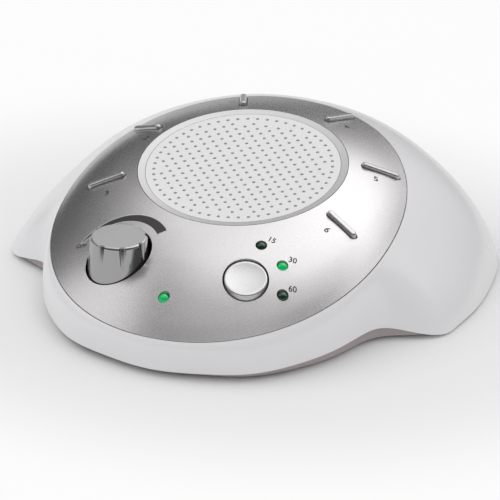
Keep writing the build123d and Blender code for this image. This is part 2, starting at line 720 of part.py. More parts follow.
def grille_holes():
    """Centres of the staggered field of holes and of the circle round it."""
    places = []
    rows = int(HOLE_FIELD_RADIUS / HOLE_ROW)
    for row in range(-rows, rows + 1):
        shift = HOLE_PITCH / 2 if row % 2 else 0
        columns = int(HOLE_FIELD_RADIUS / HOLE_PITCH) + 1
        for column in range(-columns, columns + 1):
            x, y = column * HOLE_PITCH + shift, row * HOLE_ROW
            if math.hypot(x, y) <= HOLE_FIELD_RADIUS:
                places.append((x, y))
    for i in range(EDGE_HOLES):
        angle = 2 * math.pi * i / EDGE_HOLES
        places.append((EDGE_HOLE_CIRCLE * math.cos(angle), EDGE_HOLE_CIRCLE * math.sin(angle)))
    return places


def make_grille():
    holes = []
    for x, y in grille_holes():
        holes.append(Wire([Edge.make_circle(HOLE_RADIUS, Plane(origin=(x, y, 0)))]))
    disc = Face(Wire([Edge.make_circle(GRILLE_RADIUS)]), holes)
    return grille_frame * Solid.extrude(disc, (0, 0, -GRILLE_THICKNESS))


GASKET_END = GASKET_SEAT + GASKET_THICKNESS
FRAME_TOP = GASKET_END + SURROUND_THICKNESS
FRAME_END = FRAME_TOP + FRAME_THICKNESS
BASKET_END = FRAME_END + BASKET_DEPTH
PLATE_END = BASKET_END + PLATE_THICKNESS
MAGNET_END = PLATE_END + MAGNET_THICKNESS


def make_gasket():
    return turned([(GASKET_INNER, -GASKET_SEAT), (SPEAKER_RADIUS, -GASKET_SEAT),
                   (SPEAKER_RADIUS, -GASKET_END), (GASKET_INNER, -GASKET_END)], grille_frame)


def make_surround():
    inner, outer = CONE_RADIUS + RUNNING_GAP, SPEAKER_RADIUS
    roll = [math.pi * k / 8 for k in range(9)]
    centre = inner + SURROUND_ROLL
    under, over = SURROUND_ROLL - SURROUND_THICKNESS, SURROUND_ROLL
    top = [(centre - over * math.cos(a), over * math.sin(a) - FRAME_TOP) for a in roll[:-1]]
    top.append((centre + under, SURROUND_THICKNESS - FRAME_TOP))
    low = [(centre + under * math.cos(a), under * math.sin(a) - FRAME_TOP) for a in roll]
    edge = [(outer, SURROUND_THICKNESS - FRAME_TOP), (outer, -FRAME_TOP)]
    return turned(top + edge + low, grille_frame)


def make_frame():
    t = FRAME_THICKNESS
    frame = turned([(SPEAKER_RADIUS, -FRAME_TOP), (SPEAKER_RADIUS, -FRAME_END),
                    (FRAME_INNER + FRAME_SHOULDER, -FRAME_END), (BASKET_RADIUS, -BASKET_END),
                    (BASKET_BORE, -BASKET_END), (BASKET_BORE, t - BASKET_END),
                    (BASKET_RADIUS - 0.7, t - BASKET_END), (FRAME_INNER, -FRAME_END + 0.4),
                    (FRAME_INNER, -FRAME_TOP)])
    for i in range(BASKET_WINDOWS):
        turn = 360 * (i + 0.5) / BASKET_WINDOWS
        frame -= Rot(0, 0, turn) * block(BASKET_RADIUS + FRAME_SHOULDER, FRAME_INNER,
                                         -WINDOW_WIDTH / 2, WINDOW_WIDTH / 2,
                                         2 * WINDOW_MARGIN - BASKET_END, -WINDOW_MARGIN - FRAME_END)
    return grille_frame * frame


def make_magnet():
    return turned([(MAGNET_BORE, -PLATE_END), (MAGNET_RADIUS, -PLATE_END),
                   (MAGNET_RADIUS, -MAGNET_END), (MAGNET_BORE, -MAGNET_END)], grille_frame)


def make_top_plate():
    return turned([(PLATE_BORE, -BASKET_END), (PLATE_RADIUS, -BASKET_END),
                   (PLATE_RADIUS, -PLATE_END), (PLATE_BORE, -PLATE_END)], grille_frame)


def make_yoke():
    bottom = -MAGNET_END - YOKE_THICKNESS
    return turned([(0, bottom), (PLATE_RADIUS, bottom), (PLATE_RADIUS, -MAGNET_END),
                   (POLE_RADIUS, -MAGNET_END), (POLE_RADIUS, -BASKET_END), (0, -BASKET_END)],
                  grille_frame)


def make_spider():
    seat = FRAME_THICKNESS - BASKET_END
    return turned([(SPIDER_BORE, seat), (SPIDER_RADIUS, seat), (SPIDER_RADIUS, seat + SPIDER_THICKNESS),
                   (SPIDER_BORE, seat + SPIDER_THICKNESS)], grille_frame)


def make_cone():
    neck = FRAME_TOP + CONE_DEPTH
    t = CONE_THICKNESS
    inner_coil = COIL_RADIUS - COIL_THICKNESS
    return turned([(CONE_RADIUS, -FRAME_TOP), (CONE_NECK, -neck), (CONE_NECK * 0.7, 0.8 - neck),
                   (0, DUST_CAP_RISE - neck), (0, DUST_CAP_RISE - t - neck),
                   (inner_coil, 0.6 - neck), (inner_coil, -FRAME_TOP - COIL_DROP),
                   (COIL_RADIUS, -FRAME_TOP - COIL_DROP), (COIL_RADIUS, -neck - 1.2),
                   (CONE_NECK, -neck - 2 * t), (CONE_RADIUS, -FRAME_TOP - t)], grille_frame)


def make_tags():
    half = TAG_LENGTH / 2
    return grille_frame * block(-half, half, -TAG_RADIUS, TAG_WIDTH - TAG_RADIUS,
                                -FRAME_END - TAG_THICKNESS, -FRAME_END)


def make_speaker_screws():
    screws = []
    length = RING_DEPTH - SHELF_DEPTH - 0.2
    for angle in SPEAKER_SCREWS:
        place = Rot(0, 0, angle) * Pos(SPEAKER_SCREW_CIRCLE, 0, -RING_DEPTH)
        screws.append(grille_frame * place * screw(SCREW_SHANK, SCREW_HEAD, SCREW_HEAD_HEIGHT, length))
    return screws


# ================================================================ sound buttons and key board
def make_cap(bearing, side):
    drop, slope = station_surface(bearing, side)
    cap = slot_prism(-CAP_GAP, -CAP_BOTTOM, CAP_PROUD) - above(drop - CAP_PROUD, slope)
    top = cap.faces().sort_by(Axis.Z)[-1]
    cap = fillet(top.edges(), CAP_ROUNDING)
    cap += slot_prism(CAP_LIP, -CAP_BOTTOM, CAP_LIP_THICKNESS - CAP_BOTTOM)
    return station(bearing, side) * cap


def plunger(top, switch_top):
    """A tact switch's plunger, from the cap down into the switch."""
    return rod(PLUNGER_RADIUS, switch_top - PLUNGER_HOLD, top)


def tact_switch(bottom, travel):
    """Switch body with a hole deep enough for its plunger's travel."""
    half = SWITCH_SIZE / 2
    top = bottom + SWITCH_HEIGHT
    body = block(-half, half, -half, half, bottom, top)
    return body - rod(PLUNGER_RADIUS + PLUNGER_FIT, top - PLUNGER_HOLD - travel - RUNNING_GAP, top)


def make_key_board():
    board = turned([(KEY_BOARD_INNER, -KEY_BOARD_TOP), (KEY_BOARD_OUTER, -KEY_BOARD_TOP),
                    (KEY_BOARD_OUTER, -KEY_BOARD_TOP - BOARD_THICKNESS),
                    (KEY_BOARD_INNER, -KEY_BOARD_TOP - BOARD_THICKNESS)])
    half_gap = math.radians(180 - KEY_BOARD_END)
    reach = 2 * KEY_BOARD_OUTER
    across, along = reach * math.sin(half_gap), reach * math.cos(half_gap)
    corners = [(0, 0), (across, -along), (-across, -along)]
    wedge = extrude(make_face(Polyline(*corners, close=True)), reach, both=True)
    board = grille_frame * (board - wedge)
    for post in key_posts():
        board -= post * rod(SCREW_SHANK + BOARD_HOLE_PLAY, -2 * KEY_BOARD_TOP, 0)
    return board


def make_key_screws():
    length = BOARD_THICKNESS + THREAD_LENGTH - SCREW_END_GAP
    under = Pos(0, 0, -KEY_BOARD_TOP - BOARD_THICKNESS)
    return [post * under * screw(SCREW_SHANK, SCREW_HEAD, SCREW_HEAD_HEIGHT, length)
            for post in key_posts()]


# ================================================================ knob, timer and LEDs
def make_knob():
    knob = turned([(0, KNOB_TOP), (KNOB_TOP_RADIUS, KNOB_TOP), (KNOB_BASE_RADIUS, KNOB_BASE),
                   (0, KNOB_BASE)])
    knob = fillet(knob.edges().sort_by(Axis.Z)[-1:], KNOB_ROUNDING)
    depth = KNOB_TOP - KNOB_BASE
    for i in range(KNOB_FLUTES):
        turn = Rot(0, 0, KNOB_SETTING + 360 * i / KNOB_FLUTES)
        cutter = rod(FLUTE_RADIUS, -depth, depth)
        knob -= turn * Pos(FLUTE_CENTRE, 0, KNOB_TOP) * Rot(0, -FLUTE_LEAN, 0) * cutter
    hub = SHAFT_RADIUS + KNOB_HUB_WALL
    hollow = rod(KNOB_TOP_RADIUS - KNOB_WALL, KNOB_BASE, KNOB_TOP - KNOB_CROWN)
    hollow -= rod(hub, KNOB_BASE, KNOB_TOP)
    knob -= hollow
    knob -= rod(SHAFT_RADIUS + SHAFT_FIT, KNOB_BASE, KNOB_TOP - KNOB_CROWN)
    return Pos(-CONTROL_X, CONTROL_Y, 0) * knob


def make_shaft():
    return rod(SHAFT_RADIUS, SHAFT_FOOT, KNOB_TOP - KNOB_CROWN, -CONTROL_X, CONTROL_Y)


def make_pot():
    top = MAIN_BOARD_TOP + POT_HEIGHT
    pot = rod(POT_RADIUS, MAIN_BOARD_TOP, top)
    pot += rod(SHAFT_RADIUS + BUSHING_WALL, top, top + BUSHING_HEIGHT)
    pot -= rod(SHAFT_RADIUS + SHAFT_FIT, SHAFT_FOOT - RUNNING_GAP, KNOB_TOP)
    return Pos(-CONTROL_X, CONTROL_Y, 0) * pot


TIMER_SWITCH_TOP = MAIN_BOARD_TOP + SWITCH_HEIGHT
TIMER_STEM_BOTTOM = TIMER_SWITCH_TOP + TIMER_TRAVEL + KEY_OVERTRAVEL


def make_timer_button():
    radius = TIMER_HOLE_RADIUS - TIMER_GAP
    rise_x, rise_y = crown_slopes(CONTROL_X, CONTROL_Y)
    panel_rise = math.hypot(rise_x, rise_y)
    # the cap's face leans a few degrees less than the panel round it
    flatter = math.tan(math.atan(panel_rise) - math.radians(TIMER_LEVELLING)) / panel_rise
    rise_x, rise_y = rise_x * flatter, rise_y * flatter
    top = Plane(origin=(0, 0, crown_height(CONTROL_X, CONTROL_Y) + TIMER_PROUD), x_dir=(1, 0, rise_x),
                z_dir=(-rise_x, -rise_y, 1)).location
    reach = 3 * radius
    cap = rod(radius, TIMER_BOTTOM, KNOB_TOP + reach)
    cap -= top * block(-reach, reach, -reach, reach, 0, 2 * reach)
    face = cap.faces().sort_by(Axis.Z)[-1]
    cap = fillet(face.edges(), TIMER_ROUNDING)
    cap -= top * Pos(0, 0, TIMER_DISH_RADIUS - TIMER_DISH) * Rot(90, 0, 0) * Sphere(TIMER_DISH_RADIUS)
    cap += rod(radius + TIMER_LIP, TIMER_BOTTOM, TIMER_BOTTOM + TIMER_LIP_THICKNESS)
    cap += rod(TIMER_STEM_RADIUS, TIMER_STEM_BOTTOM, TIMER_BOTTOM)
    return Pos(CONTROL_X, CONTROL_Y, 0) * cap


def led_bottom(x, y):
    return crown_height(x, y) + LED_PROUD - LED_LENGTH


def make_led(x, y):
    bottom = led_bottom(x, y)
    dome_centre = bottom + LED_LENGTH - LED_RADIUS
    led = rod(LED_RADIUS, bottom, dome_centre) + Pos(0, 0, dome_centre) * Sphere(LED_RADIUS)
    led += rod(LED_RADIUS + LED_COLLAR, bottom, bottom + LED_COLLAR_HEIGHT)
    return Pos(x, y, 0) * led


def make_led_tubes():
    outer = LED_RADIUS + LED_COLLAR
    tubes = []
    for x, y in LED_PLACES.values():
        tube = rod(outer, MAIN_BOARD_TOP, led_bottom(x, y))
        tubes.append(Pos(x, y, 0) * (tube - rod(outer - LED_TUBE_WALL, 0, KNOB_TOP)))
    return tubes


def make_leads():
    half = LEAD_WIDTH / 2
    leads = []
    for x, y in LED_PLACES.values():
        for side in (-1, 1):
            middle = x + side * LEAD_PITCH / 2
            leads.append(block(middle - half, middle + half, y - half, y + half, MAIN_BOARD_TOP,
                               led_bottom(x, y)))
    return leads


# ================================================================ main board, socket and wires
def make_main_board():
    board = inner_body(MAIN_BOARD_INSET, MAIN_BOARD_BOTTOM, MAIN_BOARD_TOP)
    reach = 2 * OUTLINE_REACH[0]
    board &= block(-MAIN_BOARD_HALF, MAIN_BOARD_HALF, -reach, MAIN_BOARD_BACK, 0, reach)
    for x, y in MAIN_SCREWS:
        board -= rod(SCREW_SHANK + BOARD_HOLE_PLAY, 0, KNOB_TOP, x, y)
    for x, y in CASE_SCREWS:
        board -= rod(CASE_BOSS + RUNNING_GAP, 0, KNOB_TOP, x, y)
    return board


def make_main_screws():
    flip = Rot(180, 0, 0)
    length = BOARD_THICKNESS + THREAD_LENGTH - SCREW_END_GAP
    return [Pos(x, y, MAIN_BOARD_TOP) * flip * screw(SCREW_SHANK, SCREW_HEAD, SCREW_HEAD_HEIGHT, length)
            for x, y in MAIN_SCREWS]


def make_chips():
    chips = []
    for x0, x1, y0, y1, height in CHIPS:
        chips.append(block(x0, x1, y0, y1, MAIN_BOARD_TOP, MAIN_BOARD_TOP + height))
    return chips


def make_capacitors():
    top = MAIN_BOARD_TOP + CAPACITOR_HEIGHT
    return [rod(CAPACITOR_RADIUS, MAIN_BOARD_TOP, top, x, y) for x, y in CAPACITORS]


def make_jack():
    half = JACK_BODY / 2
    jack = rod(JACK_COLLAR, JACK_BACK, JACK_MOUTH)
    jack += rod(JACK_COLLAR + JACK_FLANGE, JACK_SEAT - JACK_FLANGE_THICKNESS, JACK_SEAT)
    jack += block(-half, half, -half, half, JACK_BACK, JACK_SEAT - JACK_FLANGE_THICKNESS)
    jack -= rod(JACK_SOCKET, JACK_MOUTH - JACK_DEPTH, 2 * JACK_MOUTH)
    jack -= rod(JACK_PIN, JACK_MOUTH - JACK_DEPTH - JACK_PIN_ROOT, JACK_MOUTH)
    return jack_frame * jack


def make_jack_pin():
    root = JACK_MOUTH - JACK_DEPTH - JACK_PIN_ROOT
    return jack_frame * rod(JACK_PIN, root, JACK_MOUTH - JACK_PIN_SUNK)


def wire(points):
    """A round wire along straight runs joined by arcs as large as the runs allow."""
    runs = [math.dist(a, b) for a, b in zip(points, points[1:])]
    radii = []
    for i in range(1, len(points) - 1):
        before = Vector(points[i]) - Vector(points[i - 1])
        after = Vector(points[i + 1]) - Vector(points[i])
        turn = math.radians(before.get_angle(after))
        radii.append(0.45 * min(runs[i - 1], runs[i]) / math.tan(turn / 2))
    path = FilletPolyline(*points, radius=radii)
    start = Plane(origin=points[0], z_dir=Vector(points[1]) - Vector(points[0]))
    return sweep(start * Circle(WIRE_RADIUS), path=path)


def wire_pair(points, spread):
    return [wire([(x + side * spread, y, z) for x, y, z in points]) for side in (-1, 1)]


def make_speaker_wires():
    radius, drop = TAG_RADIUS - TAG_WIDTH / 2, FRAME_END + TAG_THICKNESS
    first = grille_point(radius, -math.pi / 2, -drop)
    second = grille_point(radius, -math.pi / 2, -drop - 5)
    y = first[1] + 1
    return wire_pair([first, second, (0, y, 19.5), (0, y - 2.5, 14.5), (0, y - 2.5, MAIN_BOARD_TOP)],
                     SPEAKER_WIRE_SPREAD)


def make_battery_wires():
    x, y, z = BATTERY_WIRE_X, BAY_FRONT - BAY_WALL, BATTERY_WIRE_HEIGHT
    end = MAIN_BOARD_BACK - 3.5
    return wire_pair([(x, y, z), (x, y - 7.5, z), (x, y - 15, z + 1.5), (x, end, z - 0.5),
                      (x, end, MAIN_BOARD_TOP)], WIRE_SPREAD)


def make_jack_wires():
    x, z = JACK_X + 2.3, JACK_HEIGHT
    end = MAIN_BOARD_BACK - 5
    return wire_pair([(x, JACK_BACK, z), (x, JACK_BACK - 9, z), (x, JACK_BACK - 20, 9), (x, 24, 6),
                      (x, 9, 6.4), (x, -4, 10), (x, end + 5, 13.4), (x, end, 13), (x, end, MAIN_BOARD_TOP)],
                     WIRE_SPREAD)


def make_ribbon():
    """A flat ribbon from the under side of the key board down to the main board."""
    _x, top_y, top_z = grille_point(RIBBON_PLACE, -math.pi / 2, -KEY_BOARD_TOP - BOARD_THICKNESS)
    side = [(top_y, top_z - SEAT_GAP), (top_y - RIBBON_SAG, 15), (top_y, MAIN_BOARD_TOP)]
    back = [(y - RIBBON_THICKNESS, z) for y, z in reversed(side)]
    corners = [(RIBBON_X, y, z) for y, z in side + back]
    face = make_face(Polyline(*corners, close=True))
    return extrude(face, RIBBON_WIDTH, dir=(1, 0, 0))


# ================================================================ all nodes
def main():
    os.makedirs("parts", exist_ok=True)
    save(make_shell(), "upper_shell")
    save(make_base(), "base_housing")
    save(make_panel(), "face_panel")
    save(make_ring(), "grille_ring")
    save(make_grille(), "speaker_grille")
    save(make_gasket(), "speaker_gasket")
    save(make_surround(), "speaker_surround")
    save(make_frame(), "speaker_frame")
    save(make_cone(), "speaker_cone")
    save(make_spider(), "speaker_spider")
    save(make_top_plate(), "speaker_top_plate")
    save(make_magnet(), "speaker_magnet")
    save(make_yoke(), "speaker_yoke")
    save(make_tags(), "speaker_tags")
    save(make_speaker_screws(), "speaker_screws")
    switches = []
    for number, (bearing, side) in enumerate(stations(), 1):
        frame = station(bearing, side)
        switch_top = SWITCH_HEIGHT - KEY_BOARD_TOP
        save(make_cap(bearing, side), f"sound_button_{number}")
        save(frame * plunger(-CAP_BOTTOM, switch_top), f"key_plunger_{number}")
        switches.append(frame * tact_switch(-KEY_BOARD_TOP, KEY_TRAVEL))
    save(switches, "key_switches")
    save(make_key_board(), "key_board")
    save(make_key_screws(), "key_board_screws")
    control = Pos(CONTROL_X, CONTROL_Y, 0)
    save(make_timer_button(), "timer_button")
    save(control * plunger(TIMER_STEM_BOTTOM, TIMER_SWITCH_TOP), "timer_plunger")
    save(control * tact_switch(MAIN_BOARD_TOP, TIMER_TRAVEL), "timer_switch")
    save(make_knob(), "volume_knob")
    save(make_shaft(), "pot_shaft")
    save(make_pot(), "pot_body")
    for node, (x, y) in LED_PLACES.items():
        save(make_led(x, y), node)
    save(make_led_tubes(), "led_tubes")
    save(make_leads(), "led_leads")
    save(make_main_board(), "main_board")
    save(make_main_screws(), "main_board_screws")
    save(make_chips(), "board_chips")
    save(make_capacitors(), "board_capacitors")
    save(make_door(), "battery_door")
    save(make_cells(), "battery_cells")
    save(make_contacts(), "battery_contacts")
    save(make_springs(), "battery_springs")
    save(make_jack(), "dc_jack")
    save(make_jack_pin(), "dc_pin")
    save(make_case_screws(), "case_screws")
    save(make_feet(), "rubber_feet")
    save(make_ribbon(), "board_ribbon")
    save(make_speaker_wires(), "speaker_wires")
    save(make_battery_wires(), "battery_wires")
    save(make_jack_wires(), "jack_wires")


if __name__ == "__main__":
    main()
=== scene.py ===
"""White noise sound machine: finishes, perforated grille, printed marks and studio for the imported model."""

import math

import bpy
from bpy.props import FloatProperty, FloatVectorProperty, IntProperty, PointerProperty
from mathutils import Matrix, Vector
from mathutils.bvhtree import BVHTree


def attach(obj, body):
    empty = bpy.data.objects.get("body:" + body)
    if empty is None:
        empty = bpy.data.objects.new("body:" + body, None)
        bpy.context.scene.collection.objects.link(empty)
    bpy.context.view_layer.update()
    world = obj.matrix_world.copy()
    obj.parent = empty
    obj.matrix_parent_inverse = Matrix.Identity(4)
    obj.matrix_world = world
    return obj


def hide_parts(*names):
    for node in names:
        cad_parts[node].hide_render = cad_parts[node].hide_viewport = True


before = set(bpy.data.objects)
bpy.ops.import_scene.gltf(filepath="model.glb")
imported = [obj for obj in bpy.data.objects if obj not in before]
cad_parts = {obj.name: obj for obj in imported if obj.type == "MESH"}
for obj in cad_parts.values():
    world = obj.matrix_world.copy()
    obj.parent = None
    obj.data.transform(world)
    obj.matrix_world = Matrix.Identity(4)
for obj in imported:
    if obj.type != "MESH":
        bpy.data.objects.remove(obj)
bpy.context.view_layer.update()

bl_info = {
    "name": "White noise sound machine",
    "version": (1, 0, 0),
    "blender": (4, 5, 0),
    "location": "3D View > Sidebar > Sound machine",
    "description": "Dresses the packed sound machine and sets up its studio",
    "category": "Object",
}

MM = 0.001
GRILLE_CENTRE = Vector((0, 5.8, 40.0)) * MM
GRILLE_TURN = Matrix.Rotation(math.radians(8.1), 4, "X")
KNOB_AXIS = Vector((-22.2, -45.4)) * MM
KNOB_FOOT = 18.6 * MM
KNOB_TOP = 34.0 * MM
KNOB_RADIUS = 10.4 * MM
KNOB_TAPER = (10.4 - 9.3) / (34.0 - 18.6)
# painted shade and light on the knob: how far inside its tapered side the paint is wholly dark and wholly
# grey, standing in for shade and dark reflections in the flutes, and how far under its top the paint starts
# to lighten and is at its lightest, a painted highlight on the top face
SIDE_PAINTED_DARK = 0.90 * MM
SIDE_PAINTED_GREY = 0.15 * MM
TOP_PAINTED_LIGHT_FROM = 0.7 * MM
TOP_PAINTED_LIGHT = 0.2 * MM
SWEEP_CENTRE = KNOB_AXIS + Vector((-0.35, 0.25)) * MM
# bearings of the sound buttons from the back, and the places of their numbers in millimetres
STATION_BEARINGS = (22.5, 67.5, 112.5)
NUMBER_PLACES = ((-20.7, 46.2), (-38.0, 13.9), (-38.5, -17.5), (21.9, 42.4), (42.1, 17.6), (38.3, -15.7))
OFF_PLACE = Vector((-37.5, -40.6))


# ---------------------------------------------------------------- sizes and colours
def length(name, description, default):
    return FloatProperty(name=name, description=description, default=default, min=0.0, unit="LENGTH",
                         subtype="DISTANCE", precision=5)


def angle(name, description, degrees):
    return FloatProperty(name=name, description=description, default=math.radians(degrees), subtype="ANGLE")


def colour(name, description, *rgb):
    return FloatVectorProperty(name=name, description=description, default=rgb, size=3, min=0.0, max=1.0,
                               subtype="COLOR")


class GrilleSizes(bpy.types.PropertyGroup):
    """Sizes of the perforated grille plate."""
    radius: length("Radius", "Radius of the plate", 32 * MM)
    thickness: length("Thickness", "Thickness of the plate", 1.2 * MM)
    hole: length("Hole radius", "Radius of each hole", 0.6 * MM)
    flare: length("Hole flare", "How far each hole's countersink widens it", 0.16 * MM)
    pitch: length("Pitch", "Distance between the holes of a row", 4.4 * MM)
    row: length("Row", "Distance between rows, each shifted by half a pitch", 2.3 * MM)
    field: length("Field radius", "Radius of the staggered field of holes", 27.4 * MM)
    circle: length("Circle radius", "Radius of the circle of holes round the field", 29.3 * MM)
    circle_holes: IntProperty(name="Circle holes", description="Number of holes in that circle",
                              default=56, min=3)


class MarkSizes(bpy.types.PropertyGroup):
    """Sizes of the marks printed on the face panel."""
    ink: length("Ink height", "How far the ink stands over the panel", 0.03 * MM)
    sunk: length("Ink depth", "How far the ink's closed body reaches into the panel", 0.06 * MM)
    figure: length("Figure height", "Size of the timer's figures", 2.0 * MM)
    word: length("Word height", "Size of the word at the knob", 1.5 * MM)
    number: length("Number height", "Size of the sound buttons' numbers", 2.4 * MM)
    sweep: length("Sweep radius", "Outer radius of the volume sweep round the knob", 16.5 * MM)
    sweep_width: length("Sweep width", "Width of the volume sweep at its loud end", 3.1 * MM)
    sweep_start: angle("Sweep start", "Bearing of the loud end", 41)
    sweep_end: angle("Sweep end", "Bearing of the quiet tip", 160)
    outline: length("Sweep outline", "Width of the light line round the sweep", 0.35 * MM)


class Colours(bpy.types.PropertyGroup):
    """Colours of the finishes."""
    shell: colour("Shell", "Pearl white plastic of the shell", 0.82, 0.81, 0.825)
    base: colour("Base", "Warm grey plastic of the base and its door", 0.43, 0.385, 0.39)
    panel: colour("Panel", "Satin silver paint of the face panel", 0.62, 0.605, 0.615)
    ring: colour("Ring", "Light silver paint of the funnel ring", 0.64, 0.635, 0.64)
    grille: colour("Grille", "White plastic of the grille", 0.84, 0.835, 0.84)
    button: colour("Buttons", "Silver paint of the sound and timer buttons", 0.60, 0.595, 0.60)
    knob: colour("Knob", "Silver paint of the volume knob", 0.66, 0.65, 0.655)
    ink: colour("Ink", "Dark grey ink of the printed marks", 0.030, 0.029, 0.031)
    # painted shade: the dark tone in the knob's flutes stands in for shade and dark reflections, not a colour
    # of the paint
    flute: colour("Flutes", "Dark tone down in the knob's flutes", 0.045, 0.045, 0.047)
    sweep: colour("Sweep", "Dark grey ink of the volume sweep", 0.030, 0.029, 0.031)
    lit: colour("Lit LED", "Green glow of a lit LED", 0.0, 0.40, 0.10)
    dark: colour("Dark LED", "Green tint of an LED that is off", 0.006, 0.040, 0.018)
    floor: colour("Floor", "Pale floor and surroundings", 0.94, 0.94, 0.94)


class Studio(bpy.types.PropertyGroup):
    """Camera and light."""
    azimuth: angle("Azimuth", "Camera's angle round the object", 22.303)
    elevation: angle("Elevation", "Camera's angle above the horizon", 26.453)
    roll: angle("Roll", "Camera's turn about its own line of sight", 0.353)
    distance: length("Distance", "Camera's distance from its aim", 2.415)
    aim: FloatVectorProperty(name="Aim", description="Point in the middle of the view", size=3,
                             default=(0.00943, -0.01081, 0.01932), subtype="TRANSLATION", unit="LENGTH")
    lens: FloatProperty(name="Lens", description="Focal length", default=533.3, min=1, unit="CAMERA")
    ambient: FloatProperty(name="Ambient", description="Strength of the soft light from all round",
                           default=0.70, min=0)
    side_box: FloatProperty(name="Side softbox", description="Power of the softbox at the left",
                            default=3.0, min=0, unit="POWER")
    top_box: FloatProperty(name="Top softbox", description="Power of the softbox overhead", default=1.6,
                           min=0, unit="POWER")
    wing_box: FloatProperty(name="Wing softbox", description="Power of the softbox behind on the right",
                            default=1.2, min=0, unit="POWER")


# ---------------------------------------------------------------- shader expressions
class Value:
    """A number or a shader socket that Python's operators build Math nodes on."""

    def __init__(self, net, socket):
        self.net, self.socket = net, socket

    def _math(self, operation, *terms):
        return self.net.node("ShaderNodeMath", {"operation": operation}, list(terms)).out()

    def __add__(self, other):
        return self._math("ADD", self, other)

    def __sub__(self, other):
        return self._math("SUBTRACT", self, other)

    def __mul__(self, other):
        return self._math("MULTIPLY", self, other)

    def __abs__(self):
        return self._math("ABSOLUTE", self)

    def __mod__(self, other):
        """The value folded back and forth between 0 and other."""
        return self._math("PINGPONG", self, other)

    def power(self, other):
        return self._math("POWER", self, other)

    def smooth(self, low, high):
        """0 below low, 1 above high, with a soft step between."""
        return self.net.node("ShaderNodeMapRange", {"interpolation_type": "SMOOTHSTEP"},
                             {"Value": self, "From Min": low, "From Max": high}).out()

    __radd__ = __add__


class Node:
    """A made node, with its outputs as values."""

    def __init__(self, net, node):
        self.net, self.node = net, node

    def out(self, name=0):
        return Value(self.net, self.node.outputs[name])


class Net:
    """The node tree of one material or world."""

    def __init__(self, tree):
        self.tree = tree
        tree.nodes.clear()

    def node(self, kind, settings=None, inputs=None):
        made = self.tree.nodes.new(kind)
        for name, value in (settings or {}).items():
            setattr(made, name, value)
        pairs = inputs.items() if isinstance(inputs, dict) else enumerate(inputs or ())
        for name, value in pairs:
            if isinstance(value, Value):
                self.tree.links.new(value.socket, made.inputs[name])
            elif value is not None:
                made.inputs[name].default_value = value
        return Node(self, made)

    def place(self):
        return self.node("ShaderNodeTexCoord").out("Object")

    def axes(self, place=None):
        split = self.node("ShaderNodeSeparateXYZ", None, [place or self.place()])
        return split.out("X"), split.out("Y"), split.out("Z")

    def noise(self, scale, detail=2.0, stretch=(1, 1, 1)):
        place = self.node("ShaderNodeMapping", None, {"Vector": self.place(), "Scale": stretch}).out()
        return self.node("ShaderNodeTexNoise", None,
                         {"Vector": place, "Scale": scale, "Detail": detail}).out("Fac")

    def mix(self, share, first, second):
        """Colour between first and second by share."""
        made = self.node("ShaderNodeMix", {"data_type": "RGBA"}, {0: share})
        for index, value in ((6, first), (7, second)):
            if isinstance(value, Value):
                self.tree.links.new(value.socket, made.node.inputs[index])
            else:
                made.node.inputs[index].default_value = (*value, 1)
        return Value(self, made.node.outputs[2])

    def bump(self, height, distance):
        return self.node("ShaderNodeBump", None,
                         {"Height": height, "Distance": distance, "Strength": 1.0}).out()

    def surface(self, inputs):
        shader = self.node("ShaderNodeBsdfPrincipled", None, inputs)
        self.node("ShaderNodeOutputMaterial", None, {"Surface": shader.out()})


def shade(rgb, by):
    return tuple(min(1.0, c * by) for c in rgb)


def new_net(name):
    material = bpy.data.materials.new(name)
    material.use_nodes = True
    return material, Net(material.node_tree)


# ---------------------------------------------------------------- finishes
# flakes of the silver paint per metre
FLAKES = 9000
# distances from the middle of the bay, along the cells, between which the jackets turn to copper
BAND_STARTS = 0.0155
BAND_FULL = 0.0160


def moulded(name, rgb, roughness=0.35, grain=0.00004, scale=900, coat=0.0, tint=0.04):
    """Moulded plastic or paint: a faint drift of colour and gloss over a fine grain."""
    material, net = new_net(name)
    drift = net.noise(38, 3)
    fine = net.noise(scale, 2)
    base = net.mix(drift, shade(rgb, 1 - tint), shade(rgb, 1 + tint))
    rough = roughness + (drift - 0.5) * 0.10 + (fine - 0.5) * 0.06
    net.surface({"Base Color": base, "Roughness": rough, "Metallic": 0.0, "Coat Weight": coat,
                 "Coat Roughness": 0.12, "Normal": net.bump(fine, grain)})
    return material


def flake_paint(name, rgb, roughness, metallic=0.85, flake=0.05):
    """Silver paint: fine flakes of uneven brightness under a thin lacquer."""
    material, net = new_net(name)
    cells = net.node("ShaderNodeTexVoronoi", {"feature": "F1"}, {"Vector": net.place(), "Scale": FLAKES})
    spark = net.node("ShaderNodeSeparateColor", None, [cells.out("Color")]).out("Red")
    drift = net.noise(30, 2)
    flakes = net.mix(spark, shade(rgb, 1 - flake), shade(rgb, 1 + flake))
    base = net.mix(drift * 0.5, flakes, shade(rgb, 0.97))
    rough = roughness + (spark - 0.5) * 0.12 + (drift - 0.5) * 0.05
    net.surface({"Base Color": base, "Roughness": rough, "Metallic": metallic, "Coat Weight": 0.12,
                 "Coat Roughness": 0.25, "Normal": net.bump(spark, 0.0000012)})
    return material


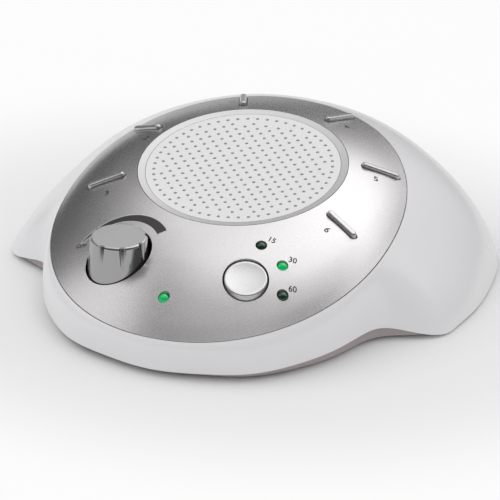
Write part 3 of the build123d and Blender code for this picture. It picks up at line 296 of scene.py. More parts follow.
def fluted_paint(name, rgb, painted_flute_shade):
    """Silver paint of the knob with painted shade and light: painted shade and dark reflections in its
    flutes, grey painted reflection on its ridges, a painted highlight on its top face.
    """
    material, net = new_net(name)
    x, y, z = net.axes()
    across, along = x - KNOB_AXIS.x, y - KNOB_AXIS.y
    reach = (across * across + along * along).power(0.5) + (z - KNOB_FOOT) * KNOB_TAPER
    ridge = reach.smooth(KNOB_RADIUS - SIDE_PAINTED_DARK, KNOB_RADIUS - SIDE_PAINTED_GREY)
    face = z.smooth(KNOB_TOP - TOP_PAINTED_LIGHT_FROM, KNOB_TOP - TOP_PAINTED_LIGHT)
    drift = net.noise(60, 2)
    # painted shade in the flutes, grey painted reflection on the ridges, painted highlight on the top face
    side = net.mix(ridge, painted_flute_shade, shade(rgb, 0.62))
    base = net.mix(face, side, net.mix(drift, shade(rgb, 0.80), shade(rgb, 0.86)))
    net.surface({"Base Color": base, "Roughness": face * 0.28 + drift * 0.05 + 0.10, "Metallic": 0.95,
                 "Coat Weight": 0.12, "Coat Roughness": 0.25,
                 "Normal": net.bump(net.noise(4000, 1), 0.0000012)})
    return material


def turned_metal(name, rgb, roughness=0.28, stretch=(1, 1, 30)):
    """Worked metal with fine marks along one way."""
    material, net = new_net(name)
    marks = net.noise(420, 3, stretch)
    stains = net.noise(60, 3)
    base = net.mix(stains, shade(rgb, 0.86), rgb)
    net.surface({"Base Color": base, "Roughness": roughness + (marks - 0.5) * 0.22, "Metallic": 1.0,
                 "Normal": net.bump(marks, 0.00001)})
    return material


def lamp_plastic(name, rgb, glow):
    """Clear tinted LED body that glows from within when it is lit."""
    material, net = new_net(name)
    cloud = net.noise(700, 2)
    base = net.mix(cloud, shade(rgb, 0.85), shade(rgb, 1.15))
    net.surface({"Base Color": base, "Roughness": 0.10 + cloud * 0.06, "Coat Weight": 0.6,
                 "Emission Color": net.mix(cloud, shade(rgb, 0.9), shade(rgb, 1.1)),
                 "Emission Strength": glow})
    return material


def circuit_board(name):
    """Green board with lighter copper ways under the lacquer."""
    material, net = new_net(name)
    x, y, _z = net.axes()
    ways = ((x * 1250 + net.noise(90, 1) * 3) % 1.0).smooth(0.62, 0.72)
    lanes = ((y * 620 + net.noise(70, 1) * 3) % 1.0).smooth(0.5, 0.62)
    base = net.mix(ways * lanes, (0.010, 0.085, 0.030), (0.020, 0.16, 0.055))
    net.surface({"Base Color": base, "Roughness": 0.30 + net.noise(500) * 0.15,
                 "Normal": net.bump(ways * lanes, 0.00003)})
    return material


def cell_jacket(name):
    """Printed cell jacket: dark in the middle of each cell and copper at both its ends."""
    material, net = new_net(name)
    x, _y, _z = net.axes()
    band = abs(x).smooth(BAND_STARTS, BAND_FULL)
    base = net.mix(band, (0.025, 0.025, 0.028), (0.45, 0.20, 0.075))
    worn = net.noise(260, 3)
    net.surface({"Base Color": base, "Metallic": 0.55, "Roughness": 0.26 + worn * 0.16,
                 "Normal": net.bump(worn, 0.00001)})
    return material


def woven(name, rgb):
    """Coarse cotton cloth dipped in resin."""
    material, net = new_net(name)
    x, y, _z = net.axes()
    warp, weft = (x * 1600) % 1.0, (y * 1600) % 1.0
    base = net.mix(warp * weft, shade(rgb, 0.72), shade(rgb, 1.1))
    net.surface({"Base Color": base, "Roughness": 0.75 + warp * 0.1,
                 "Normal": net.bump(warp + weft, 0.00008)})
    return material


def make_finishes():
    c = bpy.context.scene.sound_machine_colours
    grey = {name: tuple(getattr(c, name)) for name in
            ("shell", "base", "panel", "ring", "grille", "button", "knob", "flute", "lit", "dark")}
    return {
        "pearl_white": moulded("pearl_white", grey["shell"], 0.30, 0.000012, 420, coat=0.25, tint=0.012),
        "warm_grey": moulded("warm_grey", grey["base"], 0.46, 0.00004, 1100, tint=0.03),
        "satin_silver": flake_paint("satin_silver", grey["panel"], 0.30),
        "light_silver": flake_paint("light_silver", grey["ring"], 0.36, 0.55, 0.03),
        "grille_white": moulded("grille_white", grey["grille"], 0.40, 0.00002, 1000, tint=0.012),
        "button_silver": flake_paint("button_silver", grey["button"], 0.28, 0.75, 0.03),
        "knob_silver": fluted_paint("knob_silver", grey["knob"], grey["flute"]),
        "led_lit": lamp_plastic("led_lit", grey["lit"], 0.35),
        "led_dark": lamp_plastic("led_dark", grey["dark"], 0.0),
        "diffuser_black": moulded("diffuser_black", (0.016, 0.016, 0.017), 0.5),
        "rubber_black": moulded("rubber_black", (0.022, 0.021, 0.022), 0.72, 0.0001, 1500, tint=0.12),
        "paper_black": moulded("paper_black", (0.020, 0.019, 0.018), 0.85, 0.00016, 700, tint=0.15),
        "cloth_tan": woven("cloth_tan", (0.40, 0.24, 0.11)),
        "stamped_steel": turned_metal("stamped_steel", (0.46, 0.46, 0.47), 0.34),
        "ferrite": moulded("ferrite", (0.035, 0.034, 0.036), 0.62, 0.0001, 1300, tint=0.15),
        "board_green": circuit_board("board_green"),
        "part_black": moulded("part_black", (0.018, 0.018, 0.019), 0.45, 0.00004, 1500, tint=0.10),
        "can_silver": turned_metal("can_silver", (0.60, 0.60, 0.62), 0.30),
        "screw_steel": turned_metal("screw_steel", (0.56, 0.55, 0.53), 0.32, (30, 1, 1)),
        "spring_steel": turned_metal("spring_steel", (0.60, 0.60, 0.61), 0.24),
        "brass": turned_metal("brass", (0.70, 0.50, 0.22), 0.26),
        "cell_jacket": cell_jacket("cell_jacket"),
        "wire_red": moulded("wire_red", (0.42, 0.02, 0.018), 0.42, tint=0.08),
        "wire_black": moulded("wire_black", (0.018, 0.018, 0.018), 0.42, tint=0.10),
        "ribbon_grey": moulded("ribbon_grey", (0.36, 0.36, 0.37), 0.5, tint=0.08),
    }


def slot_of(node):
    """The record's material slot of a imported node."""
    return node.data.materials[0].name.split(".")[0]


FINISHES = {}


def finish_of(slot):
    """The finish of a material slot; all of them are made the first time one is asked for."""
    if not FINISHES:
        FINISHES.update(make_finishes())
    return FINISHES[slot]


def finish_pieces(*names):
    """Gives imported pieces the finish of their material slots."""
    for name in names:
        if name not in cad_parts:
            raise RuntimeError(f"the frame has no {name}")
        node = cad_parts[name]
        node.material_slots[0].material = finish_of(slot_of(node))
    return {"FINISHED"}


class SOUNDMACHINE_OT_shell(bpy.types.Operator):
    """Finishes the upper shell"""
    bl_idname = "sound_machine.shell"
    bl_label = "Upper shell"

    def execute(self, context):
        return finish_pieces("upper_shell")


class SOUNDMACHINE_OT_base(bpy.types.Operator):
    """Finishes the base housing and its battery door"""
    bl_idname = "sound_machine.base"
    bl_label = "Base and door"

    def execute(self, context):
        return finish_pieces("base_housing", "battery_door")


class SOUNDMACHINE_OT_fixings(bpy.types.Operator):
    """Finishes the case screws and the rubber feet"""
    bl_idname = "sound_machine.fixings"
    bl_label = "Screws and feet"

    def execute(self, context):
        return finish_pieces("case_screws", "rubber_feet")


class SOUNDMACHINE_OT_panel(bpy.types.Operator):
    """Finishes the face panel"""
    bl_idname = "sound_machine.panel"
    bl_label = "Face panel"

    def execute(self, context):
        return finish_pieces("face_panel")


class SOUNDMACHINE_OT_ring(bpy.types.Operator):
    """Finishes the funnel ring round the grille"""
    bl_idname = "sound_machine.ring"
    bl_label = "Grille ring"

    def execute(self, context):
        return finish_pieces("grille_ring")


class SOUNDMACHINE_OT_sound_buttons(bpy.types.Operator):
    """Finishes the six sound buttons"""
    bl_idname = "sound_machine.sound_buttons"
    bl_label = "Sound buttons"

    def execute(self, context):
        return finish_pieces(*(f"sound_button_{i}" for i in range(1, 7)))


class SOUNDMACHINE_OT_timer(bpy.types.Operator):
    """Finishes the timer button and its plunger"""
    bl_idname = "sound_machine.timer"
    bl_label = "Timer button"

    def execute(self, context):
        return finish_pieces("timer_button", "timer_plunger")


class SOUNDMACHINE_OT_knob(bpy.types.Operator):
    """Finishes the volume knob and the potentiometer under it"""
    bl_idname = "sound_machine.knob"
    bl_label = "Volume knob"

    def execute(self, context):
        return finish_pieces("volume_knob", "pot_shaft", "pot_body")


class SOUNDMACHINE_OT_lights(bpy.types.Operator):
    """Finishes the four LEDs with their tubes and leads"""
    bl_idname = "sound_machine.lights"
    bl_label = "LEDs"

    def execute(self, context):
        return finish_pieces("led_power", "led_15", "led_30", "led_60", "led_tubes", "led_leads")


class SOUNDMACHINE_OT_speaker(bpy.types.Operator):
    """Finishes the pieces of the loudspeaker"""
    bl_idname = "sound_machine.speaker"
    bl_label = "Loudspeaker"

    def execute(self, context):
        return finish_pieces("speaker_frame", "speaker_gasket", "speaker_magnet", "speaker_screws",
                             "speaker_spider", "speaker_surround", "speaker_tags", "speaker_top_plate",
                             "speaker_yoke", "speaker_cone")


class SOUNDMACHINE_OT_key_board(bpy.types.Operator):
    """Finishes the key board with its switches, plungers and screws"""
    bl_idname = "sound_machine.key_board"
    bl_label = "Key board"

    def execute(self, context):
        return finish_pieces("key_board", "key_board_screws", "key_switches",
                             *(f"key_plunger_{i}" for i in range(1, 7)))


class SOUNDMACHINE_OT_main_board(bpy.types.Operator):
    """Finishes the main board with what is soldered and screwed to it"""
    bl_idname = "sound_machine.main_board"
    bl_label = "Main board"

    def execute(self, context):
        return finish_pieces("main_board", "main_board_screws", "board_chips", "board_capacitors",
                             "timer_switch")


class SOUNDMACHINE_OT_battery(bpy.types.Operator):
    """Finishes the cells, contact plates and contact springs"""
    bl_idname = "sound_machine.battery"
    bl_label = "Cells and contacts"

    def execute(self, context):
        return finish_pieces("battery_cells", "battery_contacts", "battery_springs")


class SOUNDMACHINE_OT_socket(bpy.types.Operator):
    """Finishes the power socket and its centre pin"""
    bl_idname = "sound_machine.socket"
    bl_label = "Power socket"

    def execute(self, context):
        return finish_pieces("dc_jack", "dc_pin")


class SOUNDMACHINE_OT_wiring(bpy.types.Operator):
    """Finishes the wires and the ribbon between the boards"""
    bl_idname = "sound_machine.wiring"
    bl_label = "Wiring"

    def execute(self, context):
        return finish_pieces("battery_wires", "jack_wires", "speaker_wires", "board_ribbon")


# ---------------------------------------------------------------- perforated grille
HOLE_SIDES = 20
PLATE_SIDES = 160
LEAST_DRILLED_FACES = 1000
SHARP_FROM = math.radians(30)


def wire_up(tree, kind, settings=None, inputs=None):
    """One geometry node with its settings, then its input values or links."""
    made = tree.nodes.new(kind)
    for name, value in (settings or {}).items():
        setattr(made, name, value)
    for name, value in (inputs or {}).items():
        if isinstance(value, bpy.types.NodeSocket):
            tree.links.new(value, made.inputs[name])
        else:
            made.inputs[name].default_value = value
    return made


def grille_tree():
    """Geometry nodes that drill a staggered field of holes, and a circle round it, in a round plate."""
    tree = bpy.data.node_groups.new("Perforated plate", "GeometryNodeTree")
    face = tree.interface
    face.new_socket("Geometry", in_out="OUTPUT", socket_type="NodeSocketGeometry")
    for name in ("Radius", "Thickness", "Hole", "Flare", "Pitch", "Row", "Field", "Circle"):
        face.new_socket(name, in_out="INPUT", socket_type="NodeSocketFloat")
    for name in ("Circle holes", "Columns", "Rows"):
        face.new_socket(name, in_out="INPUT", socket_type="NodeSocketInt")
    face.new_socket("Material", in_out="INPUT", socket_type="NodeSocketMaterial")
    entry = tree.nodes.new("NodeGroupInput").outputs
    leave = tree.nodes.new("NodeGroupOutput")

    def maths(operation, a, b):
        return wire_up(tree, "ShaderNodeMath", {"operation": operation}, {0: a, 1: b}).outputs[0]

    def drill(plate, places, radius_top, radius_bottom, height, lift):
        cutter = wire_up(tree, "GeometryNodeMeshCone", {"fill_type": "NGON"},
                         {"Vertices": HOLE_SIDES, "Radius Top": radius_top, "Radius Bottom": radius_bottom,
                          "Depth": height})
        shift = wire_up(tree, "ShaderNodeCombineXYZ", None, {"Z": lift}).outputs[0]
        moved = wire_up(tree, "GeometryNodeTransform", None,
                        {"Geometry": cutter.outputs["Mesh"], "Translation": shift})
        spread = wire_up(tree, "GeometryNodeInstanceOnPoints", None,
                         {"Points": places, "Instance": moved.outputs[0]})
        real = wire_up(tree, "GeometryNodeRealizeInstances", None, {"Geometry": spread.outputs[0]})
        cut = wire_up(tree, "GeometryNodeMeshBoolean", {"operation": "DIFFERENCE", "solver": "MANIFOLD"},
                      {"Mesh 1": plate})
        tree.links.new(real.outputs[0], cut.inputs["Mesh 2"])
        return cut.outputs["Mesh"]

    def lattice(shift_x, shift_y):
        columns, rows = entry["Columns"], entry["Rows"]
        wide = maths("MULTIPLY", maths("SUBTRACT", columns, 1), entry["Pitch"])
        deep = maths("MULTIPLY", maths("SUBTRACT", rows, 1), maths("MULTIPLY", entry["Row"], 2))
        grid = wire_up(tree, "GeometryNodeMeshGrid", None,
                       {"Size X": wide, "Size Y": deep, "Vertices X": columns, "Vertices Y": rows})
        shift = wire_up(tree, "ShaderNodeCombineXYZ", None, {"X": shift_x, "Y": shift_y}).outputs[0]
        return wire_up(tree, "GeometryNodeTransform", None,
                       {"Geometry": grid.outputs["Mesh"], "Translation": shift}).outputs[0]

    half_pitch = maths("DIVIDE", entry["Pitch"], 2)
    even = lattice(0.0, 0.0)
    odd = lattice(half_pitch, entry["Row"])
    field = wire_up(tree, "GeometryNodeJoinGeometry")
    for part in (odd, even):
        tree.links.new(part, field.inputs[0])
    position = tree.nodes.new("GeometryNodeInputPosition").outputs[0]
    reach = wire_up(tree, "ShaderNodeVectorMath", {"operation": "LENGTH"}, {0: position}).outputs["Value"]
    outside = wire_up(tree, "FunctionNodeCompare", {"data_type": "FLOAT", "operation": "GREATER_THAN"},
                      {0: reach, 1: entry["Field"]}).outputs[0]
    kept = wire_up(tree, "GeometryNodeDeleteGeometry", {"domain": "POINT"},
                   {"Geometry": field.outputs[0], "Selection": outside}).outputs[0]
    circle = wire_up(tree, "GeometryNodeMeshCircle", None,
                     {"Vertices": entry["Circle holes"], "Radius": entry["Circle"]}).outputs[0]
    holes = wire_up(tree, "GeometryNodeJoinGeometry")
    for part in (circle, kept):
        tree.links.new(part, holes.inputs[0])
    places = wire_up(tree, "GeometryNodeMeshToPoints", None, {"Mesh": holes.outputs[0]}).outputs[0]

    disc = wire_up(tree, "GeometryNodeMeshCylinder", {"fill_type": "NGON"},
                   {"Vertices": PLATE_SIDES, "Radius": entry["Radius"], "Depth": entry["Thickness"]})
    down = wire_up(tree, "ShaderNodeCombineXYZ", None,
                   {"Z": maths("MULTIPLY", entry["Thickness"], -0.5)}).outputs[0]
    plate = wire_up(tree, "GeometryNodeTransform", None,
                    {"Geometry": disc.outputs["Mesh"], "Translation": down}).outputs[0]
    through = maths("MULTIPLY", entry["Thickness"], 2)
    low = maths("MULTIPLY", entry["Thickness"], -1.5)
    drilled = drill(plate, places, entry["Hole"], entry["Hole"], through, low)
    mouth = maths("MULTIPLY", entry["Flare"], 2)
    wide = maths("ADD", entry["Hole"], entry["Flare"])
    tip = maths("SUBTRACT", entry["Hole"], entry["Flare"])
    drop = maths("MULTIPLY", entry["Flare"], -1)
    flared = drill(drilled, places, wide, tip, mouth, drop)
    painted = wire_up(tree, "GeometryNodeSetMaterial", None,
                      {"Geometry": wire_up(tree, "GeometryNodeRealizeInstances", None,
                                           {"Geometry": flared}).outputs[0],
                       "Material": entry["Material"]})
    tree.links.new(painted.outputs[0], leave.inputs[0])
    return tree


def plain_mesh(carrier, name, place):
    """The evaluated mesh of an object as a new object, moved to its place; the carrier is removed."""
    bpy.context.view_layer.update()
    graph = bpy.context.evaluated_depsgraph_get()
    mesh = bpy.data.meshes.new_from_object(carrier.evaluated_get(graph))
    mesh.transform(place)
    mesh.name = name
    made = bpy.data.objects.new(name, mesh)
    bpy.context.scene.collection.objects.link(made)
    bpy.data.objects.remove(carrier)
    return made


def smooth_by_angle(piece):
    mesh = piece.data
    mesh.polygons.foreach_set("use_smooth", [True] * len(mesh.polygons))
    mesh.set_sharp_from_angle(angle=SHARP_FROM)


class SOUNDMACHINE_OT_grille(bpy.types.Operator):
    """Drills the perforated speaker grille with geometry nodes"""
    bl_idname = "sound_machine.grille"
    bl_label = "Perforated grille"

    def execute(self, context):
        sizes = context.scene.sound_machine_grille
        finish_pieces("speaker_grille")
        finish = finish_of("grille_white")
        carrier = bpy.data.objects.new("grille_carrier", bpy.data.meshes.new("grille_carrier"))
        context.scene.collection.objects.link(carrier)
        modifier = carrier.modifiers.new("Perforations", "NODES")
        modifier.node_group = grille_tree()
        values = {"Radius": sizes.radius, "Thickness": sizes.thickness, "Hole": sizes.hole,
                  "Flare": sizes.flare, "Pitch": sizes.pitch, "Row": sizes.row, "Field": sizes.field,
                  "Circle": sizes.circle, "Circle holes": sizes.circle_holes,
                  "Columns": 2 * math.ceil(sizes.field / sizes.pitch) + 1,
                  "Rows": 2 * math.ceil(sizes.field / sizes.row / 2) + 1, "Material": finish}
        for item in modifier.node_group.interface.items_tree:
            if item.in_out == "INPUT":
                modifier[item.identifier] = values[item.name]
        grille = plain_mesh(carrier, "perforated_grille", Matrix.Translation(GRILLE_CENTRE) @ GRILLE_TURN)
        if len(grille.data.polygons) < LEAST_DRILLED_FACES:
            raise RuntimeError("the grille's holes were not drilled")
        smooth_by_angle(grille)
        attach(grille, "case")
        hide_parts("speaker_grille")
        return {"FINISHED"}


# ---------------------------------------------------------------- printed marks
# about how high a capital with its added stroke stands, as a share of the font size
CAPITAL_SHARE = 0.72
# that stroke, as a share of the wanted height
STROKE_SHARE = 0.022
# steps per metre of the grid on which doubled points of the lettering are joined
POINTS_PER_METRE = 1e7
SWEEP_STEPS = 72
SWEEP_STRIPS = 3
SWEEP_TAPER = 0.8
SWEEP_TIP = 0.0001
# how far the sweep's ink stands over the light line under it
INK_STEP = 0.00001
# height from which rays are sent down on the panel
RAY_START = 1.0


def panel_top():
    """A function that gives the height of the face panel's top at a place."""
    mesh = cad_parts["face_panel"].data
    tree = BVHTree.FromPolygons([v.co for v in mesh.vertices], [p.vertices[:] for p in mesh.polygons])

    def height(x, y):
        hit = tree.ray_cast(Vector((x, y, RAY_START)), Vector((0, 0, -1)))[0]
        if hit is None:
            raise RuntimeError(f"the panel has no top at {x:.4f}, {y:.4f}")
        return hit.z

    return height


def printed(name, flat, height, sizes, material):
    """Closed thin body of ink on the panel, from a flat shape's (x, y) points and faces."""
    points, faces = flat
    count = len(points)
    verts = [(x, y, height(x, y) + sizes.ink) for x, y in points]
    verts += [(x, y, z - sizes.ink - sizes.sunk) for x, y, z in verts]
    edges = {}
    for f in faces:
        for a, b in zip(f, f[1:] + f[:1]):
            edges[(a, b)] = edges.get((a, b), 0) + 1
    walls = [(b, a, a + count, b + count) for a, b in edges if (b, a) not in edges]
    under = [tuple(i + count for i in reversed(f)) for f in faces]
    mesh = bpy.data.meshes.new(name)
    mesh.from_pydata(verts, [], [tuple(f) for f in faces] + under + walls)
    mesh.validate()
    mesh.materials.append(material)
    made = bpy.data.objects.new(name, mesh)
    bpy.context.scene.collection.objects.link(made)
    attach(made, "case")


def lettering(text, size, place, turn):
    """Flat outline of a word or figure, centred at a place and turned, as points and triangles."""
    curve = bpy.data.curves.new("lettering", "FONT")
    curve.body = text
    curve.size = size / CAPITAL_SHARE
    curve.align_x = "CENTER"
    curve.align_y = "CENTER"
    curve.resolution_u = 4
    curve.offset = size * STROKE_SHARE
    carrier = bpy.data.objects.new("lettering", curve)
    bpy.context.scene.collection.objects.link(carrier)
    bpy.context.view_layer.update()
    mesh = bpy.data.meshes.new_from_object(carrier.evaluated_get(bpy.context.evaluated_depsgraph_get()))
    bpy.data.objects.remove(carrier)
    spin = Matrix.Rotation(turn, 2)
    points = [spin @ Vector(v.co[:2]) + Vector(place) for v in mesh.vertices]
    faces = [tuple(p.vertices) for p in mesh.polygons]
    bpy.data.meshes.remove(mesh)
    return merged(points, faces)


def merged(points, faces):
    """The same polygons with doubled points joined."""
    index, kept, new = {}, [], []
    for p in points:
        key = (round(p[0] * POINTS_PER_METRE), round(p[1] * POINTS_PER_METRE))
        if key not in index:
            index[key] = len(kept)
            kept.append((p[0], p[1]))
        new.append(index[key])
    return kept, [tuple(new[i] for i in f) for f in faces]


def sweep_shape(sizes, grow):
    """The volume sweep: widest at its loud end, running to a thin tip round the knob."""
    points, faces = [], []
    outer = sizes.sweep + grow
    margin = grow / outer
    turn = sizes.sweep_end - sizes.sweep_start + 2 * margin
    row = SWEEP_STRIPS + 1
    for i in range(SWEEP_STEPS + 1):
        share = i / SWEEP_STEPS
        bearing = sizes.sweep_start - margin + turn * share
        width = sizes.sweep_width * (1 - share ** 2) ** SWEEP_TAPER + 2 * grow + SWEEP_TIP
        for j in range(row):
            radius = outer - width * j / SWEEP_STRIPS
            points.append((SWEEP_CENTRE.x + radius * math.cos(bearing),
                           SWEEP_CENTRE.y + radius * math.sin(bearing)))
    for i in range(SWEEP_STEPS):
        for j in range(SWEEP_STRIPS):
            a = i * row + j
            faces.append((a, a + row, a + row + 1, a + 1))
    return points, faces


class SOUNDMACHINE_OT_marks(bpy.types.Operator):
    """Prints the figures, the knob's word and the volume sweep on the face panel"""
    bl_idname = "sound_machine.marks"
    bl_label = "Printed marks"

    def execute(self, context):
        sizes = context.scene.sound_machine_marks
        colours = context.scene.sound_machine_colours
        height = panel_top()
        ink = moulded("ink", tuple(colours.ink), 0.55, tint=0.10)
        dark = moulded("sweep_ink", tuple(colours.sweep), 0.5, tint=0.12)
        light = flake_paint("outline_ink", tuple(colours.ring), 0.36, 0.3, 0.05)
        figures = {"mark_15": ("15", 24.2, -28.3, -3), "mark_30": ("30", 33.2, -32.5, 12),
                   "mark_60": ("60", 37.0, -41.8, 21)}
        for name, (text, x, y, turn) in figures.items():
            flat = lettering(text, sizes.figure, (x * MM, y * MM), math.radians(turn))
            printed(name, flat, height, sizes, ink)
        word = lettering("OFF", sizes.word, OFF_PLACE * MM, math.radians(-9))
        printed("mark_off", word, height, sizes, ink)
        for number, (x, y) in enumerate(NUMBER_PLACES, 1):
            side = -1 if x < 0 else 1
            turn = math.radians(90 - side * STATION_BEARINGS[(number - 1) % 3])
            lean = turn if side == 1 else turn - math.pi
            flat = lettering(str(number), sizes.number, (x * MM, y * MM), lean)
            printed(f"mark_{number}", flat, height, sizes, ink)
        printed("volume_sweep_line", sweep_shape(sizes, sizes.outline), height, sizes, light)
        usual_ink = sizes.ink
        sizes.ink = usual_ink + INK_STEP
        printed("volume_sweep", sweep_shape(sizes, 0.0), height, sizes, dark)
        sizes.ink = usual_ink
        return {"FINISHED"}


# ---------------------------------------------------------------- studio
LAMP_REACH = 1.5
FLOOR_HALF = 30.0
# the floor brightens between these distances from the body's middle, up to this share of plain white; nearer
# the body it keeps its darker lit tone, a ring of painted shade round the body
BRIGHT_FROM = 0.080
BRIGHT_TO = 0.150
BRIGHT_SHARE = 0.85
# weight of x squared against y squared in that distance, which makes the zone wider than it is deep
WIDTH_WEIGHT = 0.67
# white panels that the glossy finishes mirror: bearing from the front towards the right, height angle,
# cosines at the soft edge and at the full core, and brightness
REFLECTED_PANELS = ((150, 42, 0.75, 0.97, 0.74),
                    (188, 55, 0.81, 0.98, 0.92),
                    (188, 52, 0.70, 0.95, 0.36))


def towards(turn, rise):
    """Unit vector at a bearing from the front towards the right, and an angle above the horizon."""
    a, e = math.radians(turn), math.radians(rise)
    return Vector((math.sin(a) * math.cos(e), -math.cos(a) * math.cos(e), math.sin(e)))


class SOUNDMACHINE_OT_stage(bpy.types.Operator):
    """Sets the floor, the soft light and the camera"""
    bl_idname = "sound_machine.stage"
    bl_label = "Studio"

    def execute(self, context):
        scene = context.scene
        studio = scene.sound_machine_studio
        scene.view_settings.view_transform = "Standard"
        self.floor(scene)
        self.surroundings(scene, studio)
        self.softbox(scene, "softbox_side", towards(-80, 45) * LAMP_REACH, 0.9, studio.side_box)
        self.softbox(scene, "softbox_top", towards(0, 88) * LAMP_REACH, 1.0, studio.top_box)
        self.softbox(scene, "softbox_wing", towards(120, 40) * LAMP_REACH, 0.9, studio.wing_box)
        self.camera(scene, studio)
        return {"FINISHED"}

    def floor(self, scene):
        half = FLOOR_HALF
        mesh = bpy.data.meshes.new("floor")
        mesh.from_pydata([(-half, -half, 0), (half, -half, 0), (half, half, 0), (-half, half, 0)], [],
                         [(0, 1, 2, 3)])
        floor = bpy.data.objects.new("floor", mesh)
        scene.collection.objects.link(floor)
        material, net = new_net("floor")
        rgb = scene.sound_machine_colours.floor
        fine = net.noise(60, 2)
        paint = net.node("ShaderNodeBsdfDiffuse", None,
                         {"Color": net.mix(fine, shade(rgb, 0.995), shade(rgb, 1.005))})
        white = net.node("ShaderNodeEmission", None, {"Color": (1, 1, 1, 1), "Strength": 1.0})
        x, y, _z = net.axes()
        # painted shade: near the body the floor is left at its darker lit tone, and it fades to painted white
        # further out
        outside_painted_shade = (x * x * WIDTH_WEIGHT + y * y).power(0.5).smooth(BRIGHT_FROM, BRIGHT_TO)
        seen = net.node("ShaderNodeLightPath").out("Is Camera Ray")
        share = seen * outside_painted_shade * BRIGHT_SHARE
        mixed = net.node("ShaderNodeMixShader", None, [share, paint.out(), white.out()])
        net.node("ShaderNodeOutputMaterial", None, {"Surface": mixed.out()})
        mesh.materials.append(material)

    def surroundings(self, scene, studio):
        world = bpy.data.worlds.new("studio")
        scene.world = world
        world.use_nodes = True
        net = Net(world.node_tree)
        way = net.node("ShaderNodeTexCoord").out("Generated")
        _x, _y, up = net.axes(way)
        bright = up.smooth(0.60, 0.95) * 0.12
        for turn, rise, edge, core, level in REFLECTED_PANELS:
            facing = net.node("ShaderNodeVectorMath", {"operation": "DOT_PRODUCT"},
                              [way, tuple(towards(turn, rise))]).out("Value")
            bright = bright + facing.smooth(edge, core) * level
        path = net.node("ShaderNodeLightPath")
        grey = net.node("ShaderNodeCombineColor", None, [bright, bright, bright]).out()
        gloss = net.node("ShaderNodeBackground", None, {"Color": grey, "Strength": 1.0})
        soft = net.node("ShaderNodeBackground", None, {"Color": (1, 1, 1, 1), "Strength": studio.ambient})
        white = net.node("ShaderNodeBackground", None, {"Color": (1, 1, 1, 1), "Strength": 1.0})
        lit = net.node("ShaderNodeMixShader", None, [path.out("Is Glossy Ray"), soft.out(), gloss.out()])
        seen = net.node("ShaderNodeMixShader", None, [path.out("Is Camera Ray"), lit.out(), white.out()])
        net.node("ShaderNodeOutputWorld", None, {"Surface": seen.out()})

    def softbox(self, scene, name, place, size, power):
        lamp = bpy.data.lights.new(name, "AREA")
        lamp.shape = "SQUARE"
        lamp.size = size
        lamp.energy = power
        box = bpy.data.objects.new(name, lamp)
        scene.collection.objects.link(box)
        box.location = place
        box.rotation_mode = "QUATERNION"
        box.rotation_quaternion = (-Vector(place)).to_track_quat("-Z", "Y")

    def camera(self, scene, studio):
        a, e, r = studio.azimuth, studio.elevation, studio.roll
        back = Vector((math.sin(a) * math.cos(e), -math.cos(a) * math.cos(e), math.sin(e)))
        right = Vector((math.cos(a), math.sin(a), 0))
        up = back.cross(right)
        side = right * math.cos(r) + up * math.sin(r)
        top = up * math.cos(r) - right * math.sin(r)
        data = bpy.data.cameras.new("camera")
        data.lens = studio.lens
        data.sensor_width = 36
        data.clip_start, data.clip_end = 0.1, 100
        camera = bpy.data.objects.new("camera", data)
        scene.collection.objects.link(camera)
        turn = Matrix((side, top, back)).transposed().to_4x4()
        camera.matrix_world = Matrix.Translation(Vector(studio.aim) + back * studio.distance) @ turn
        scene.camera = camera


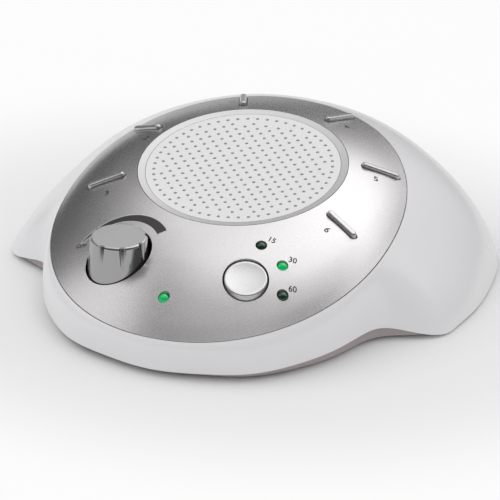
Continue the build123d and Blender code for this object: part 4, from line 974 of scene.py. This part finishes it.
# ---------------------------------------------------------------- panel and registration
OPERATORS = (SOUNDMACHINE_OT_stage, SOUNDMACHINE_OT_shell, SOUNDMACHINE_OT_base, SOUNDMACHINE_OT_fixings,
             SOUNDMACHINE_OT_panel, SOUNDMACHINE_OT_ring, SOUNDMACHINE_OT_sound_buttons,
             SOUNDMACHINE_OT_timer, SOUNDMACHINE_OT_knob, SOUNDMACHINE_OT_lights, SOUNDMACHINE_OT_speaker,
             SOUNDMACHINE_OT_key_board, SOUNDMACHINE_OT_main_board, SOUNDMACHINE_OT_battery,
             SOUNDMACHINE_OT_socket, SOUNDMACHINE_OT_wiring, SOUNDMACHINE_OT_grille, SOUNDMACHINE_OT_marks)
GROUPS = {"sound_machine_grille": GrilleSizes, "sound_machine_marks": MarkSizes,
          "sound_machine_colours": Colours, "sound_machine_studio": Studio}


class SOUNDMACHINE_PT_sidebar(bpy.types.Panel):
    """Lists the steps that dress the sound machine, with their sizes and colours"""
    bl_idname = "SOUNDMACHINE_PT_sidebar"
    bl_label = "Sound machine"
    bl_space_type = "VIEW_3D"
    bl_region_type = "UI"
    bl_category = "Sound machine"

    def draw(self, context):
        for operator in OPERATORS:
            self.layout.operator(operator.bl_idname)
        for attribute in GROUPS:
            group = getattr(context.scene, attribute)
            box = self.layout.box()
            for name in group.bl_rna.properties.keys():
                if name not in ("rna_type", "name"):
                    box.prop(group, name)


CLASSES = (*GROUPS.values(), *OPERATORS, SOUNDMACHINE_PT_sidebar)


def register():
    for made in CLASSES:
        bpy.utils.register_class(made)
    for attribute, group in GROUPS.items():
        setattr(bpy.types.Scene, attribute, PointerProperty(type=group))


def unregister():
    for attribute in GROUPS:
        delattr(bpy.types.Scene, attribute)
    for made in reversed(CLASSES):
        bpy.utils.unregister_class(made)


def main():
    register()
    bpy.ops.sound_machine.stage()
    bpy.ops.sound_machine.shell()
    bpy.ops.sound_machine.base()
    bpy.ops.sound_machine.fixings()
    bpy.ops.sound_machine.panel()
    bpy.ops.sound_machine.ring()
    bpy.ops.sound_machine.sound_buttons()
    bpy.ops.sound_machine.timer()
    bpy.ops.sound_machine.knob()
    bpy.ops.sound_machine.lights()
    bpy.ops.sound_machine.speaker()
    bpy.ops.sound_machine.key_board()
    bpy.ops.sound_machine.main_board()
    bpy.ops.sound_machine.battery()
    bpy.ops.sound_machine.socket()
    bpy.ops.sound_machine.wiring()
    bpy.ops.sound_machine.grille()
    bpy.ops.sound_machine.marks()


if __name__ == "__main__":
    main()
